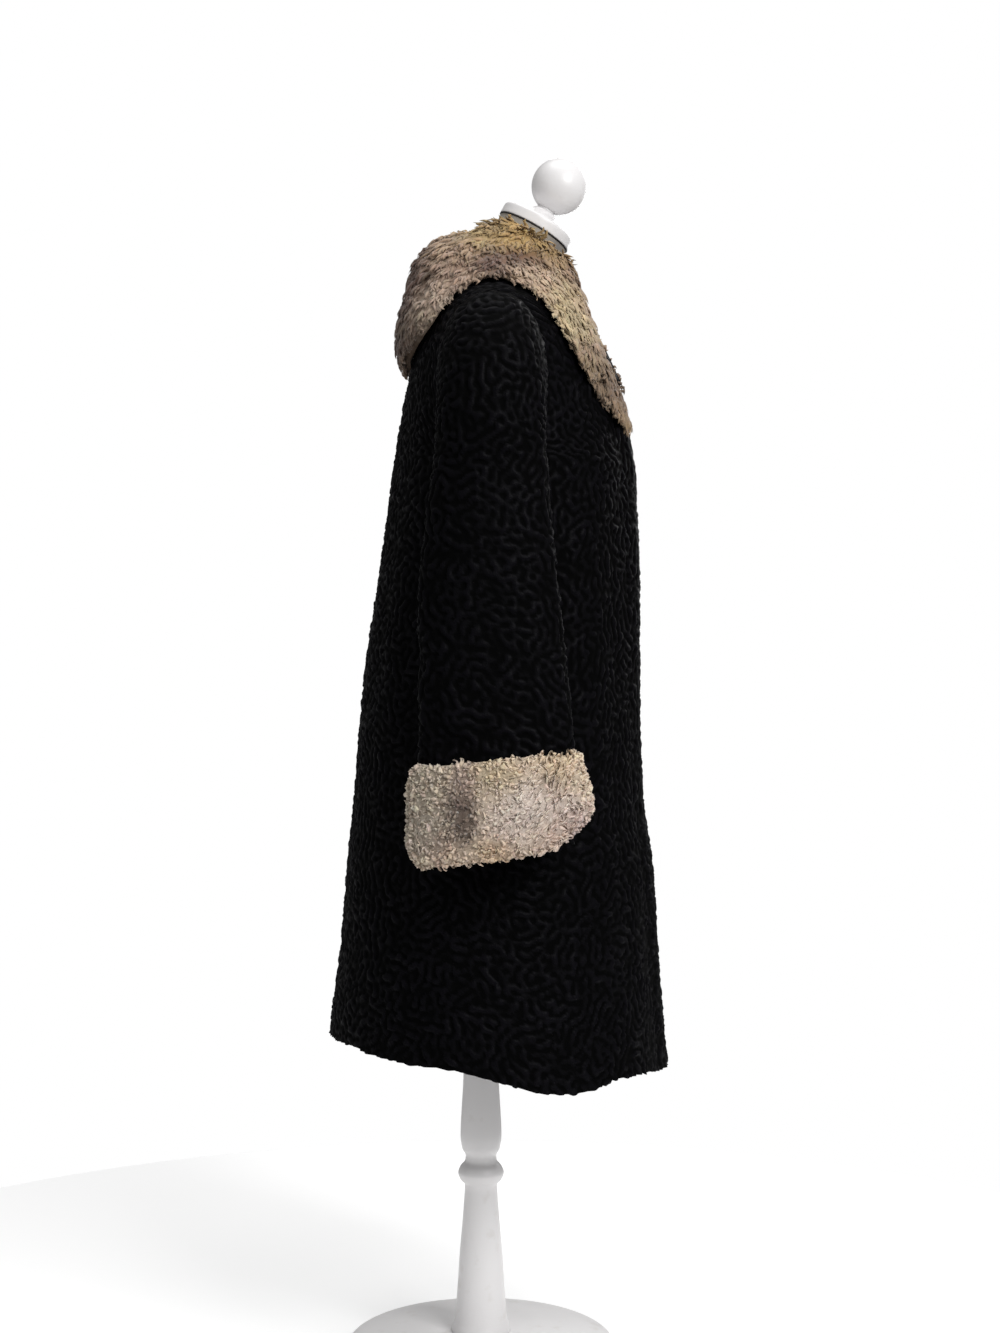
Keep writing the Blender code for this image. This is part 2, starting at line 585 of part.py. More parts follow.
def solid_of_rings(name, rings, collection, finish):
    """A closed body through rings, its ends filled flat."""
    bm = bmesh.new()
    layers = [bm.verts.layers.int.new(key) for key in ("patch", "row", "column")]
    grid_patch(bm, rings, layers, 0)
    bmesh.ops.remove_doubles(bm, verts=bm.verts, dist=WELD)
    rims = [edge for edge in bm.edges if edge.is_boundary]
    bmesh.ops.holes_fill(bm, edges=rims, sides=0)
    bmesh.ops.recalc_face_normals(bm, faces=bm.faces)
    mesh = bpy.data.meshes.new(name)
    bm.to_mesh(mesh)
    bm.free()
    return add_object(name, mesh, collection, finish)


def turned(name, profile, collection, finish, centre=(0.0, 0.0, 0.0), tilt_deg=0.0):
    """A turned piece: its profile, on +X and from the top down, swept by a Screw modifier."""
    bm = bmesh.new()
    corners = [bm.verts.new((radius, 0.0, height)) for radius, height in profile]
    for upper, lower in zip(corners, corners[1:]):
        bm.edges.new((upper, lower))
    mesh = bpy.data.meshes.new(name)
    bm.to_mesh(mesh)
    bm.free()
    made = add_object(name, mesh, collection, finish)
    made.location = centre
    made.rotation_euler = (math.radians(tilt_deg), 0.0, 0.0)
    screw = made.modifiers.new("turn", "SCREW")
    screw.axis = "Z"
    screw.angle = 2.0 * math.pi
    screw.steps = ROUND_STEPS
    screw.render_steps = ROUND_STEPS
    screw.use_merge_vertices = True
    screw.merge_threshold = 0.0001
    screw.use_smooth_shade = True
    return made


# ---------------------------------------------------------------- pieces
def panel_rows():
    """Places of the body panels' rows, hem to shoulder seam."""
    skirt = np.linspace(0.0, 1.0, SKIRT_ROWS + 1)[:-1]
    return np.concatenate([skirt, np.linspace(1.0, 2.0, YOKE_ROWS + 1)])


def build_back(collection):
    """The back, one piece from side seam to side seam."""
    spots, normals = panel_grid(panel_rows(), np.linspace(0.0, 1.0, BACK_COLUMNS + 1), True)
    outer = spots + np.array([0.0, SEAM_GAP / 2.0, 0.0])
    inner = outer - normals * LAMB_WALL
    wall("coat_back", [(outer, inner), (mirrored(outer), mirrored(inner))], collection, LAMB_BLACK)


def build_fronts(collection):
    """Both fronts; the right one rises over the left one where they lap."""
    spots, normals = panel_grid(panel_rows(), np.linspace(0.0, 1.0, FRONT_COLUMNS + 1), False)
    outer = spots - np.array([0.0, SEAM_GAP / 2.0, 0.0])
    inner = outer - normals * LAMB_WALL
    wall("coat_front_left", [(outer, inner)], collection, LAMB_BLACK)
    rise = LAP_RISE * ease(-outer[..., :1], *LAP_BLEND)
    raised = mirrored(outer + normals * rise)
    raised_inner = mirrored(inner + normals * rise)
    wall("coat_front_right", [(raised, raised_inner)], collection, LAMB_BLACK)


def sleeve_grid(steps, angles):
    """Outer and inner points of part of the left sleeve."""
    ss, aa = np.meshgrid(steps, angles, indexing="ij")
    outer = sleeve_surface(ss, aa)
    normals = sleeve_normals(ss, aa)
    turned_angles = (angles + math.pi) % (2.0 * math.pi) - math.pi
    v = 1.0 + np.abs(turned_angles) / math.pi
    at_back = seam_normals(v, True)
    at_front = seam_normals(v, False)
    normals[0] = np.where((turned_angles > 0.0)[:, None], at_back, at_front)
    outer = outer + np.array([SEAM_GAP, 0.0, 0.0])
    return outer, outer - normals * LAMB_WALL


def build_sleeves(collection):
    """Both two-piece sleeves."""
    steps = np.asarray(SLEEVE_STEPS)
    part = SEAM_GAP / 2.0 / ARMHOLE_BACK
    under = np.linspace(-SLEEVE_SEAM + part, SLEEVE_SEAM - part, UNDER_COLUMNS + 1)
    upper = np.linspace(SLEEVE_SEAM + part, 2.0 * math.pi - SLEEVE_SEAM - part, UPPER_COLUMNS + 1)
    for half, angles in (("under", under), ("upper", upper)):
        outer, inner = sleeve_grid(steps, angles)
        wall(f"sleeve_left_{half}", [(outer, inner)], collection, LAMB_BLACK)
        wall(f"sleeve_right_{half}", [(mirrored(outer), mirrored(inner))], collection, LAMB_BLACK)


def build_collar(collection):
    """The fur collar, one piece round the neck."""
    stretches = zip(COLLAR_TURNS, COLLAR_TURNS[1:], COLLAR_COLUMNS)
    s = np.concatenate([[0.0], *(np.linspace(a, b, count + 1)[1:] for a, b, count in stretches)])
    t = np.linspace(0.0, 1.0, COLLAR_ROWS + 1)
    outer, inner = collar_grid(s, t)
    wall("fur_collar", [(outer, inner), (mirrored(outer), mirrored(inner))], collection, FUR_CREAM)


def build_cuffs(collection):
    """Both fur cuffs."""
    angles = np.linspace(0.0, 2.0 * math.pi, CUFF_COLUMNS + 1)
    outer, inner = cuff_grid(angles, np.array([row[0] for row in CUFF_PROFILE]))
    outer[-1] = outer[0]
    inner[-1] = inner[0]
    wall("fur_cuff_left", [(outer, inner)], collection, FUR_CREAM)
    wall("fur_cuff_right", [(mirrored(outer), mirrored(inner))], collection, FUR_CREAM)


def build_form(collection):
    """The torso with its neck, the turned cap and finial, the post and the foot."""
    angles = np.linspace(0.0, 2.0 * math.pi, FORM_COLUMNS + 1)
    rows = np.concatenate([[0.0, 0.03], np.linspace(0.10, 1.0, FORM_ROWS)])
    vv, aa = np.meshgrid(rows, angles, indexing="ij")
    rings = form_surface(vv, aa)
    rings[:, -1] = rings[:, 0]
    solid_of_rings("form_torso", rings, collection, FORM_CLOTH)
    trim = ((0.0, 0.0), (CAP_RADIUS, 0.0), (CAP_RADIUS, -TRIM_THICK), (0.0, -TRIM_THICK))
    turned("cap_trim", trim, collection, BLACK_BAND, CAP_CENTRE, CAP_TILT_DEG)
    turned("neck_cap", CAP_PROFILE, collection, WHITE_WOOD, CAP_CENTRE, CAP_TILT_DEG)
    turned("finial", finial_profile(), collection, WHITE_WOOD, CAP_CENTRE, CAP_TILT_DEG)
    turned("post", POST_PROFILE, collection, WHITE_WOOD)
    turned("base", BASE_PROFILE, collection, WHITE_WOOD)


def finial_profile():
    """A ball on a short stem, from the top down."""
    foot = CAP_PROFILE[0][1] + SEAM_GAP
    low_angle = math.pi - math.asin(FINIAL_STEM / FINIAL_BALL)
    arc = [low_angle * step / 10.0 for step in range(11)]
    ball = [(FINIAL_BALL * math.sin(a), FINIAL_BALL_HEIGHT + FINIAL_BALL * math.cos(a)) for a in arc]
    return (*ball, (FINIAL_STEM, foot), (0.0, foot))


def main():
    """Build every piece into one collection."""
    clear_scene()
    collection = bpy.data.collections.new("persian_lamb_coat")
    bpy.context.scene.collection.children.link(collection)
    build_form(collection)
    build_back(collection)
    build_fronts(collection)
    build_sleeves(collection)
    build_collar(collection)
    build_cuffs(collection)


main()
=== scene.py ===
"""Looks of a persian lamb coat on its dress form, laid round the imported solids.

Metres, +Z up.  The wearer faces -Y and the wearer's left is +X.  The surfaces are those of the
solids, worked out again at finer steps, except that the collar is wider in front and the form's
neck a little longer; curl, fur, creases and turned detail lie over them.
"""

from __future__ import annotations

import logging
import math
from dataclasses import dataclass, field
from enum import Enum
from typing import Sequence

import bmesh
import bpy
import numpy as np
from mathutils import Matrix, Vector


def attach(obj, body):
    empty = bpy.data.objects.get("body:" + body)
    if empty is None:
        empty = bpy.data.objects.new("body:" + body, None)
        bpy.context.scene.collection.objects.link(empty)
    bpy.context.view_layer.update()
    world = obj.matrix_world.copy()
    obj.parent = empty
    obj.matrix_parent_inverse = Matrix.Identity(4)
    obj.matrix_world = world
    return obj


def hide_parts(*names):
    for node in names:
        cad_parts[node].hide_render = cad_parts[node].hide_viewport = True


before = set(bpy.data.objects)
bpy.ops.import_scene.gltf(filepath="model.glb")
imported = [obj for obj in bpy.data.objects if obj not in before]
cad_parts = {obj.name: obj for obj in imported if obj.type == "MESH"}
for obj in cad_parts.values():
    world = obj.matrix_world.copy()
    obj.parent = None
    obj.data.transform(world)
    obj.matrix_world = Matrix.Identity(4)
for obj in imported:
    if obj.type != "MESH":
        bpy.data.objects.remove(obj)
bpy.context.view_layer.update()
LOG = logging.getLogger("lamb_coat")

Array = np.ndarray
Colour = tuple[float, float, float]
Point = tuple[float, float, float]
Rows = tuple[tuple[float, ...], ...]
Socket = bpy.types.NodeSocket
TURN = 2.0 * math.pi


def metres(rows: Sequence[Sequence[float]], columns: slice = slice(1, None)) -> Array:
    """Take some of a table's columns from millimetres to metres.

    Args:
        rows: The table.
        columns: The columns in millimetres.

    Returns:
        The table as an array.
    """
    table = np.array(rows, float)
    table[..., columns] /= 1000.0
    return table


# ---------------------------------------------------------------- the solids' own sizes
FULLNESS = 0.93                 # 1 makes the coat's sections ellipses, less makes them fuller
LAP_RISE = 0.0073               # the right front lies this far out over the left one
LAP_BLEND = (-0.096, -0.058)    # x where that rise starts and where it is whole
SEAM_GAP = 0.0004
SKIRT = metres((                # v, then back_z, back_y, front_z, front_y, seam_z, seam_y, spread
    (0.00, 400, 190.5, 371.5, -227.5, 398, -20, 276),
    (0.14, 505, 178.5, 485, -217.5, 501, -20, 263),
    (0.32, 635, 167.5, 620, -209, 630, -19, 244),
    (0.43, 712, 160, 703, -197, 709, -19, 236),
    (0.62, 850, 149, 846, -192.5, 848, -18, 226),
    (0.78, 962, 133, 961, -192.5, 962, -17, 219),
    (1.00, 1118, 110.5, 1118, -187, 1118, -16, 213),
))
HEM_LIFT = 0.011
BACK_YOKE = metres((            # degrees up the armhole, then x, y, z of the inner edge
    (0, 0, 110.5, 1118), (30, 0, 103.5, 1166), (60, 0, 95, 1214), (90, 0, 85, 1262),
    (120, 0, 68, 1316), (135, 0, 46, 1357), (150, 33, 39, 1361), (165, 57, 15, 1366),
    (180, 70, -22, 1370),
))
FRONT_YOKE = metres((
    (0, -30, -187, 1118), (30, -30, -179.5, 1160), (60, -30, -166, 1204), (90, -30, -148, 1246),
    (120, -30, -125.5, 1290), (135, 8, -115, 1307), (150, 42, -98, 1330), (165, 63, -65, 1352),
    (180, 70, -22, 1370),
))
ARMPIT = (0.2130, 1.1180)       # x, z
SHOULDER = (0.2000, 1.3115)     # x, z
ARMHOLE_SCOOP = 0.014
ARMHOLE_MID_Y = -0.016
ARMHOLE_BACK = 0.066
ARMHOLE_FRONT = 0.064
PANEL_END_DEG = ((1.0, 90.0), (1.3, 68.0), (1.6, 52.0), (2.0, 46.0))
NECKLINE_START = 1.75           # v of the row where the centre back meets the neckline
SLEEVE_RINGS = metres((         # s, turn in degrees, then inner_x, inner_z, reach, back_y, front_y
    (0, 0, 213, 1118, 193.5, 50, -80), (1, 9, 213.2, 1117.5, 186, 49.5, -79.5),
    (2, 20, 213.4, 1116.8, 168, 49, -78.5), (3, 34, 213.8, 1116, 138, 49, -77.5),
    (4, 53, 214.4, 1114.8, 107, 49.5, -77), (5, 73, 215.2, 1112, 90, 50.5, -77.5),
    (6, 90, 216.5, 1104, 82.5, 53, -79), (7, 90, 223.5, 1030, 81, 61, -84),
    (8, 90, 232, 946, 79, 69, -92), (9, 90, 241, 860, 77, 69, -101),
    (10, 90, 250.5, 776, 74, 68, -108), (11, 90, 254.5, 718, 73, 67.5, -109),
    (12, 90, 256, 670, 72.5, 67.5, -109),
), slice(2, None))
SLEEVE_FULLNESS = 0.88
SLEEVE_SEAM = math.radians(60.0)
SLEEVE_END = 12.0               # s at the wrist
SLEEVE_STRAIGHT = 6             # first ring that lies level
ARMHOLE_FADE = 3.0
COLLAR_LINES = metres((         # x, y, z round the neck, from the centre back to the front's end
    ((0, 26, 1394), (30, 17, 1393), (49, -12, 1388), (57, -36, 1388), (57, -58, 1380),
     (48, -82, 1368), (29, -104.5, 1355), (6, -118, 1339), (2, -149, 1284), (2, -181, 1217)),
    ((0, 36, 1419), (36, 25, 1420), (58, 2, 1421), (70, -26, 1420), (72, -54, 1410),
     (62, -84, 1396), (40, -108, 1382), (14, -125, 1358), (7, -155, 1283), (5, -185.5, 1210)),
    ((0, 84, 1376), (54, 79, 1373), (98, 61, 1364), (121, 25, 1371), (113, -23, 1380),
     (100, -79, 1357), (82, -121, 1318), (52, -153, 1270), (32, -178, 1222), (20, -193, 1188)),
    ((0, 105, 1288), (62, 102, 1288), (118, 88, 1298), (151, 49, 1317), (145, -21, 1356),
     (138, -87, 1320), (122, -127, 1268), (90, -161, 1224), (60, -182, 1186), (38, -193, 1172)),
    ((0, 101.5, 1246), (62, 98.5, 1248), (120, 87.5, 1261), (163, 54, 1289), (160, -19, 1342),
     (161, -90, 1286), (150, -118, 1240), (117, -149, 1196), (86, -170, 1168), (58, -184, 1162)),
), slice(0, None))
COLLAR_ACROSS = (0.0, 0.22, 0.55, 0.82, 1.0)    # where across the fur those lines are
COLLAR_THICK = (0.009, 0.012, 0.016, 0.016, 0.008)
COLLAR_CLEAR = 0.0040
COLLAR_LEAST = 0.0100
CUFF_PROFILE = (                # v, height, inset
    (0.00, 0.000, 0.0060), (0.10, 0.035, 0.0025), (0.25, 0.130, 0.0000), (0.50, 0.500, -0.0015),
    (0.75, 0.870, 0.0000), (0.90, 0.965, 0.0025), (1.00, 1.000, 0.0060),
)
FORM_OVALS = metres((           # v, z, mid_y, half_width, half_depth, then tilt in degrees
    (0.00, 620, -15, 148, 96, 0), (0.03, 626, -15, 156, 104, 0), (0.15, 740, -16, 172, 113, 0),
    (0.27, 850, -18, 152, 98, 0), (0.36, 930, -20, 127, 86, 0), (0.46, 1020, -24, 138, 95, 0),
    (0.56, 1110, -32, 158, 112, 0), (0.66, 1190, -28, 170, 103, 0), (0.75, 1255, -19, 180, 83, 0),
    (0.81, 1290, -16, 178, 67, 0), (0.86, 1316, -18, 150, 56, 2), (0.90, 1334, -22, 106, 47, 5),
    (0.93, 1347, -28, 70, 43, 10), (0.96, 1366, -38, 54, 43, 18),
    (1.00, 1420.3, -66.1, 47.5, 47.5, 29.6),
), slice(1, 5))
CAP_CENTRE = (0.0, -0.0680, 1.4236)
CAP_TILT_DEG = 29.6
SHARP_ANGLE = math.radians(50.0)


class Side(Enum):
    """A side of the wearer; the value mirrors x."""

    LEFT = 1.0
    RIGHT = -1.0

    @property
    def word(self) -> str:
        """Name used in piece and node names."""
        return self.name.lower()

    @property
    def mirror(self) -> Array:
        """Factor that takes a point on the left to this side."""
        return np.array([self.value, 1.0, 1.0])


class Half(Enum):
    """A half of a two-piece sleeve; the value is where it starts and ends round the sleeve."""

    UPPER = (SLEEVE_SEAM, TURN - SLEEVE_SEAM)
    UNDER = (-SLEEVE_SEAM, SLEEVE_SEAM)


# ---------------------------------------------------------------- numbers and surfaces
def cubic(knots: Array, values: Array, slopes: Array, at: Array, *where: Array) -> Array:
    """Read cubics that pass through values at given slopes.

    Args:
        knots: Places of the values.
        values: Values at the knots, along the first axis.
        slopes: Slopes at the knots.
        at: Places to read.
        *where: Index of each place on the values' middle axes, if there are any.

    Returns:
        The values between the knots.
    """
    cell = np.clip(np.searchsorted(knots, at, side="right") - 1, 0, len(knots) - 2)
    width = (knots[cell + 1] - knots[cell])[..., None]
    part = (at - knots[cell])[..., None] / width
    low, high = (cell, *where), (cell + 1, *where)
    start = values[low] * (1 + 2 * part) * (1 - part) ** 2
    end = values[high] * part ** 2 * (3 - 2 * part)
    lean = slopes[low] * (1 - part) - slopes[high] * part
    return start + end + width * part * (1 - part) * lean


def smooth(table: Sequence[Sequence[float]], at: Array) -> Array:
    """Read a table's columns by cubics that never overshoot its rows.

    Args:
        table: Rows whose first number is the place.
        at: Places to read.

    Returns:
        The other columns at those places, along the last axis.
    """
    rows = np.asarray(table, float)
    knots, values = rows[:, 0], rows[:, 1:]
    widths = np.diff(knots)[:, None]
    steps = np.diff(values, axis=0) / widths
    slopes = np.zeros_like(values)
    slopes[0], slopes[-1] = steps[0], steps[-1]
    before, after = steps[:-1], steps[1:]
    same_way = before * after > 0.0
    first, second = 2.0 * widths[1:] + widths[:-1], widths[1:] + 2.0 * widths[:-1]
    share = first / np.where(same_way, before, 1.0) + second / np.where(same_way, after, 1.0)
    slopes[1:-1] = np.where(same_way, (first + second) / share, 0.0)
    return cubic(knots, values, slopes, np.clip(np.asarray(at, float), knots[0], knots[-1]))


def signed_power(value: Array, power: float) -> Array:
    """Size of a number raised to a power, its sign kept."""
    return np.sign(value) * np.abs(value) ** power


def ease(value: Array, low: float, high: float) -> Array:
    """Smooth rise from 0 at low to 1 at high."""
    part = np.clip((value - low) / (high - low), 0.0, 1.0)
    return part * part * (3.0 - 2.0 * part)


def unit(vectors: Array) -> Array:
    """Vectors at length one."""
    return vectors / np.maximum(np.linalg.norm(vectors, axis=-1, keepdims=True), 1e-12)


def points(x: Array, y: Array, z: Array) -> Array:
    """Three coordinates joined to points."""
    return np.stack(np.broadcast_arrays(x, y, z), axis=-1)


def mesh_of(rows: Array, columns: Array) -> tuple[Array, Array]:
    """Row and column values of a grid, rows first."""
    return np.meshgrid(rows, columns, indexing="ij")


def armhole(angle: Array) -> Array:
    """Trace the left armhole's loop.

    Args:
        angle: Angle from the armpit, positive on the back half.

    Returns:
        Points of the loop.
    """
    turned = (np.asarray(angle) + math.pi) % TURN - math.pi
    depth = np.where(turned > 0.0, ARMHOLE_BACK, ARMHOLE_FRONT)
    rise = (1.0 - np.cos(turned)) / 2.0
    x = ARMPIT[0] + (SHOULDER[0] - ARMPIT[0]) * np.abs(turned) / math.pi
    y = ARMHOLE_MID_Y + depth * signed_power(np.sin(turned), SLEEVE_FULLNESS)
    return points(x - ARMHOLE_SCOOP * np.abs(np.sin(turned)), y,
                  ARMPIT[1] + (SHOULDER[1] - ARMPIT[1]) * rise)


def body_surface(v: Array, u: Array, back: bool) -> Array:
    """Find points of a body panel's left half.

    Args:
        v: 0 at the hem, 1 at the armpit, 2 at the shoulder seam.
        u: 0 at the inner edge, 1 at the side seam or armhole.
        back: True for the back, False for a front.

    Returns:
        Points, one for each pair of v and u.
    """
    yoke, column, side = (BACK_YOKE, 0, 1.0) if back else (FRONT_YOKE, 2, -1.0)
    skirt, high = smooth(SKIRT, v), smooth(yoke, (v - 1.0) * 180.0)
    level = np.clip(v - 1.0, 0.0, 1.0)
    in_yoke = (v > 1.0)[..., None]
    inner = np.where(in_yoke, high[..., 1:], skirt[..., [column + 1, column]])
    outer = np.where(in_yoke, armhole(side * level * math.pi), skirt[..., [6, 5, 4]])
    inner_x, (inner_y, inner_z) = high[..., 0], np.moveaxis(inner, -1, 0)
    outer_x, outer_y, outer_z = np.moveaxis(outer, -1, 0)
    end = np.radians(smooth(PANEL_END_DEG, v)[..., 0])
    full = np.sin(end) ** FULLNESS
    start = np.arcsin(signed_power(inner_x / outer_x * full, 1.0 / FULLNESS))
    angle = start + (end - start) * u
    first = signed_power(np.sin(start), FULLNESS)
    across = (signed_power(np.sin(angle), FULLNESS) - first) / (full - first)
    last = np.cos(end) ** FULLNESS
    down = (np.abs(np.cos(angle)) ** FULLNESS - last) / (np.cos(start) ** FULLNESS - last)
    x = inner_x + (outer_x - inner_x) * across
    aside = np.abs(inner_x)
    sideways = np.clip((np.abs(x) - aside) / (outer_x - aside), 0.0, 1.0)
    z = outer_z + (inner_z - outer_z) * ((1.0 - level) * down + level * (1.0 - sideways))
    if back:
        z = z + HEM_LIFT * np.sin(math.pi * down) * np.clip(1.0 - v, 0.0, 1.0)
    return points(x, outer_y + (inner_y - outer_y) * down, z)


def sleeve_surface(s: Array, angle: Array) -> Array:
    """Find points of the left sleeve.

    Args:
        s: 0 at the armhole to SLEEVE_END at the wrist.
        angle: 0 on the inner side and positive to the back.

    Returns:
        Points, one for each pair of s and angle.
    """
    turn_deg, inner_x, inner_z, reach, back_y, front_y = np.moveaxis(smooth(SLEEVE_RINGS, s), -1, 0)
    turn = np.radians(turn_deg)
    out = reach * (1.0 - np.cos(angle)) / 2.0
    shift = (back_y + front_y - 2.0 * ARMHOLE_MID_Y) / 2.0
    middle = ARMHOLE_MID_Y + shift * ease(s, 0.0, 8.0)
    half = np.where(np.sin(angle) > 0.0, back_y - middle, middle - front_y)
    bend = (armhole(angle)[..., 0] - ARMPIT[0]) * np.clip(1.0 - s / ARMHOLE_FADE, 0.0, 1.0)
    y = middle + half * signed_power(np.sin(angle), SLEEVE_FULLNESS)
    return points(inner_x + out * np.sin(turn) + bend, y, inner_z + out * np.cos(turn))


def collar_surface(s: Array, t: Array) -> Array:
    """Find outer points of the collar's left half.

    Args:
        s: 0 at the centre back to 9 at the front's end.
        t: 0 at the neck to 1 at the free edge.

    Returns:
        Points, one for each pair of s and t.
    """
    stations = np.arange(-1.0, COLLAR_LINES.shape[1])
    whole = [np.vstack([line[1] * Side.RIGHT.mirror, line]) for line in COLLAR_LINES]
    lines = np.stack([smooth(np.column_stack([stations, line]), s) for line in whole])
    knots = np.asarray(COLLAR_ACROSS)
    slopes = np.empty_like(lines)
    slopes[1:-1] = (lines[2:] - lines[:-2]) / (knots[2:] - knots[:-2])[:, None, None, None]
    slopes[0] = 2.0 * (lines[1] - lines[0]) / (knots[1] - knots[0]) - slopes[1]
    slopes[-1] = 1.5 * (lines[-1] - lines[-2]) / (knots[-1] - knots[-2]) - 0.5 * slopes[-2]
    return cubic(knots, lines, slopes, t, *np.indices(t.shape))


def grid_normals(spots: Array) -> Array:
    """Unit normals of a grid of points, from its own slopes."""
    return unit(np.cross(np.gradient(spots, axis=0), np.gradient(spots, axis=1)))


def grid_lengths(spots: Array, axis: int) -> Array:
    """Measure how far each point of a grid is from the first one.

    Args:
        spots: Grid of points.
        axis: Axis to walk along.

    Returns:
        The lengths walked.
    """
    steps = np.linalg.norm(np.diff(spots, axis=axis), axis=-1)
    first = np.zeros_like(np.take(steps, [0], axis=axis))
    return np.concatenate([first, np.cumsum(steps, axis=axis)], axis=axis)


def between(values: Array, row: Array, column: Array) -> Array:
    """Read a grid of vectors between its points.

    Args:
        values: The grid.
        row: Rows to read at, in whole and part rows.
        column: Columns to read at.

    Returns:
        A vector for each place.
    """
    last_row, last_column = values.shape[0] - 2, values.shape[1] - 2
    a, b = np.minimum(row.astype(int), last_row), np.minimum(column.astype(int), last_column)
    down, over = (row - a)[..., None], (column - b)[..., None]
    top = values[a, b] * (1 - over) + values[a, b + 1] * over
    low = values[a + 1, b] * (1 - over) + values[a + 1, b + 1] * over
    return top * (1 - down) + low * down


def linear(screen: Sequence[float]) -> Array:
    """Screen colours, 0 to 255, as linear light."""
    share = np.asarray(screen, float) / 255
    return np.where(share * 255 > 10, ((share + 0.055) / 1.055) ** 2.4, share / 12.92)


# ---------------------------------------------------------------- finishes
class Nodes:
    """A node tree with short calls to add nodes; an input is a number, a colour or a socket."""

    def __init__(self, owner: bpy.types.Material | bpy.types.World) -> None:
        """Turn the owner's nodes on."""
        owner.use_nodes = True
        self.owner, self.tree = owner, owner.node_tree

    @classmethod
    def named(cls, name: str) -> Nodes:
        """The nodes of a new material."""
        return cls(bpy.data.materials.new(name))

    def fill(self, node: bpy.types.Node, inputs: dict[str | int, object]) -> bpy.types.Node:
        """Set or link a node's inputs.

        Args:
            node: The node.
            inputs: A value or socket for each input's name or number.

        Returns:
            The node.
        """
        for key, value in inputs.items():
            socket = node.inputs[key]
            if isinstance(value, Socket):
                self.tree.links.new(value, socket)
            else:
                socket.default_value = (*value, 1.0) if socket.type == "RGBA" else value
        return node

    def add(self, kind: str, inputs: dict[str | int, object], **settings: object) -> bpy.types.Node:
        """Add a node.

        Args:
            kind: Its type, without the first words.
            inputs: Its inputs.
            **settings: Its properties.

        Returns:
            The node.
        """
        node = self.tree.nodes.new(f"ShaderNode{kind}")
        for key, value in settings.items():
            setattr(node, key, value)
        return self.fill(node, inputs)

    def noise(self, scale: float, detail: float = 2.0, stretch: Point = (1, 1, 1),
              place: Socket | None = None) -> Socket:
        """Add noise on the object's own coordinates, or on others.

        Args:
            scale: Cells for each metre.
            detail: Octaves.
            stretch: Factor for each axis.
            place: Coordinates to read the noise at.

        Returns:
            The noise's factor.
        """
        place = place or self.add("TexCoord", {}).outputs["Object"]
        mapped = self.add("Mapping", {"Vector": place, "Scale": stretch}).outputs["Vector"]
        inputs = {"Vector": mapped, "Scale": scale, "Detail": detail}
        return self.add("TexNoise", inputs).outputs["Fac"]

    def own(self, name: str, output: str = "Fac") -> Socket:
        """A value or colour that the mesh carries under a name."""
        return self.add("Attribute", {}, attribute_name=name).outputs[output]

    def fitted(self, value: Socket, source: tuple[float, float],
               target: tuple[float, float] = (0.0, 1.0)) -> Socket:
        """A value taken from one range to another and held there."""
        ends = dict(enumerate((*source, *target), 1))
        return self.add("MapRange", {"Value": value, **ends}).outputs["Result"]

    def mixed(self, share: Socket | float, low: object, high: object, blend: str = "MIX") -> Socket:
        """Two colours mixed by a share."""
        inputs = {"Factor": share, 6: low, 7: high}
        return self.add("Mix", inputs, data_type="RGBA", blend_type=blend).outputs[2]

    def bump(self, height: Socket, distance: float, strength: float,
             under: Socket | None = None) -> Socket:
        """A bump of a height in metres, over another one if there is one."""
        inputs = {"Height": height, "Distance": distance, "Strength": strength}
        return self.add("Bump", inputs | ({"Normal": under} if under else {})).outputs["Normal"]

    def finish(self, colour: Socket, rough: Socket | float, normal: Socket | None,
               **numbers: float) -> bpy.types.Material:
        """Set the shader's inputs.

        Args:
            colour: The base colour.
            rough: Roughness.
            normal: The bumped normal.
            **numbers: Other inputs, their names with _ for a space.

        Returns:
            The material.
        """
        inputs = {"Base Color": colour, "Roughness": rough} | ({"Normal": normal} if normal else {})
        inputs |= {key.replace("_", " "): value for key, value in numbers.items()}
        self.fill(self.tree.nodes["Principled BSDF"], inputs)
        return self.owner


WHITE: Colour = (1.0, 1.0, 1.0)
FUR_SHADE: Colour = (0.76, 0.73, 0.70)      # painted shade: how much darker fur is between its strands


@dataclass(frozen=True)
class BlackLamb:
    """Dyed karakul pelt: near black, glossy on the curls and dull between them, with painted shade
    that darkens the grooves.
    """

    curl: Colour = (0.0023, 0.0020, 0.0033)
    # painted shade: the colour in the grooves between the curls
    groove_shade: Colour = (0.0003, 0.0003, 0.0004)
    worn: Colour = (0.62, 0.62, 0.66)
    gloss: float = 0.50
    dull: float = 0.85

    def material(self) -> bpy.types.Material:
        """Build the pelt's material.

        Returns:
            The material.
        """
        nodes = Nodes.named("black_lamb_pelt")
        curl = nodes.own("curl")
        # painted shade: darker the lower the curl, darkest in the grooves
        shade = nodes.mixed(nodes.fitted(curl, (0.25, 0.85)), self.groove_shade, self.curl)
        patchy = nodes.fitted(nodes.noise(9.0), (0.3, 0.7))
        rough = nodes.fitted(curl, (0.2, 0.8), (self.dull, self.gloss))
        hair = nodes.bump(nodes.noise(620.0, 3.0), 0.0007, 0.55)
        return nodes.finish(nodes.mixed(patchy, shade, self.worn, "MULTIPLY"), rough,
                            nodes.bump(nodes.noise(230.0), 0.0012, 0.35, hair),
                            Specular_IOR_Level=0.048)


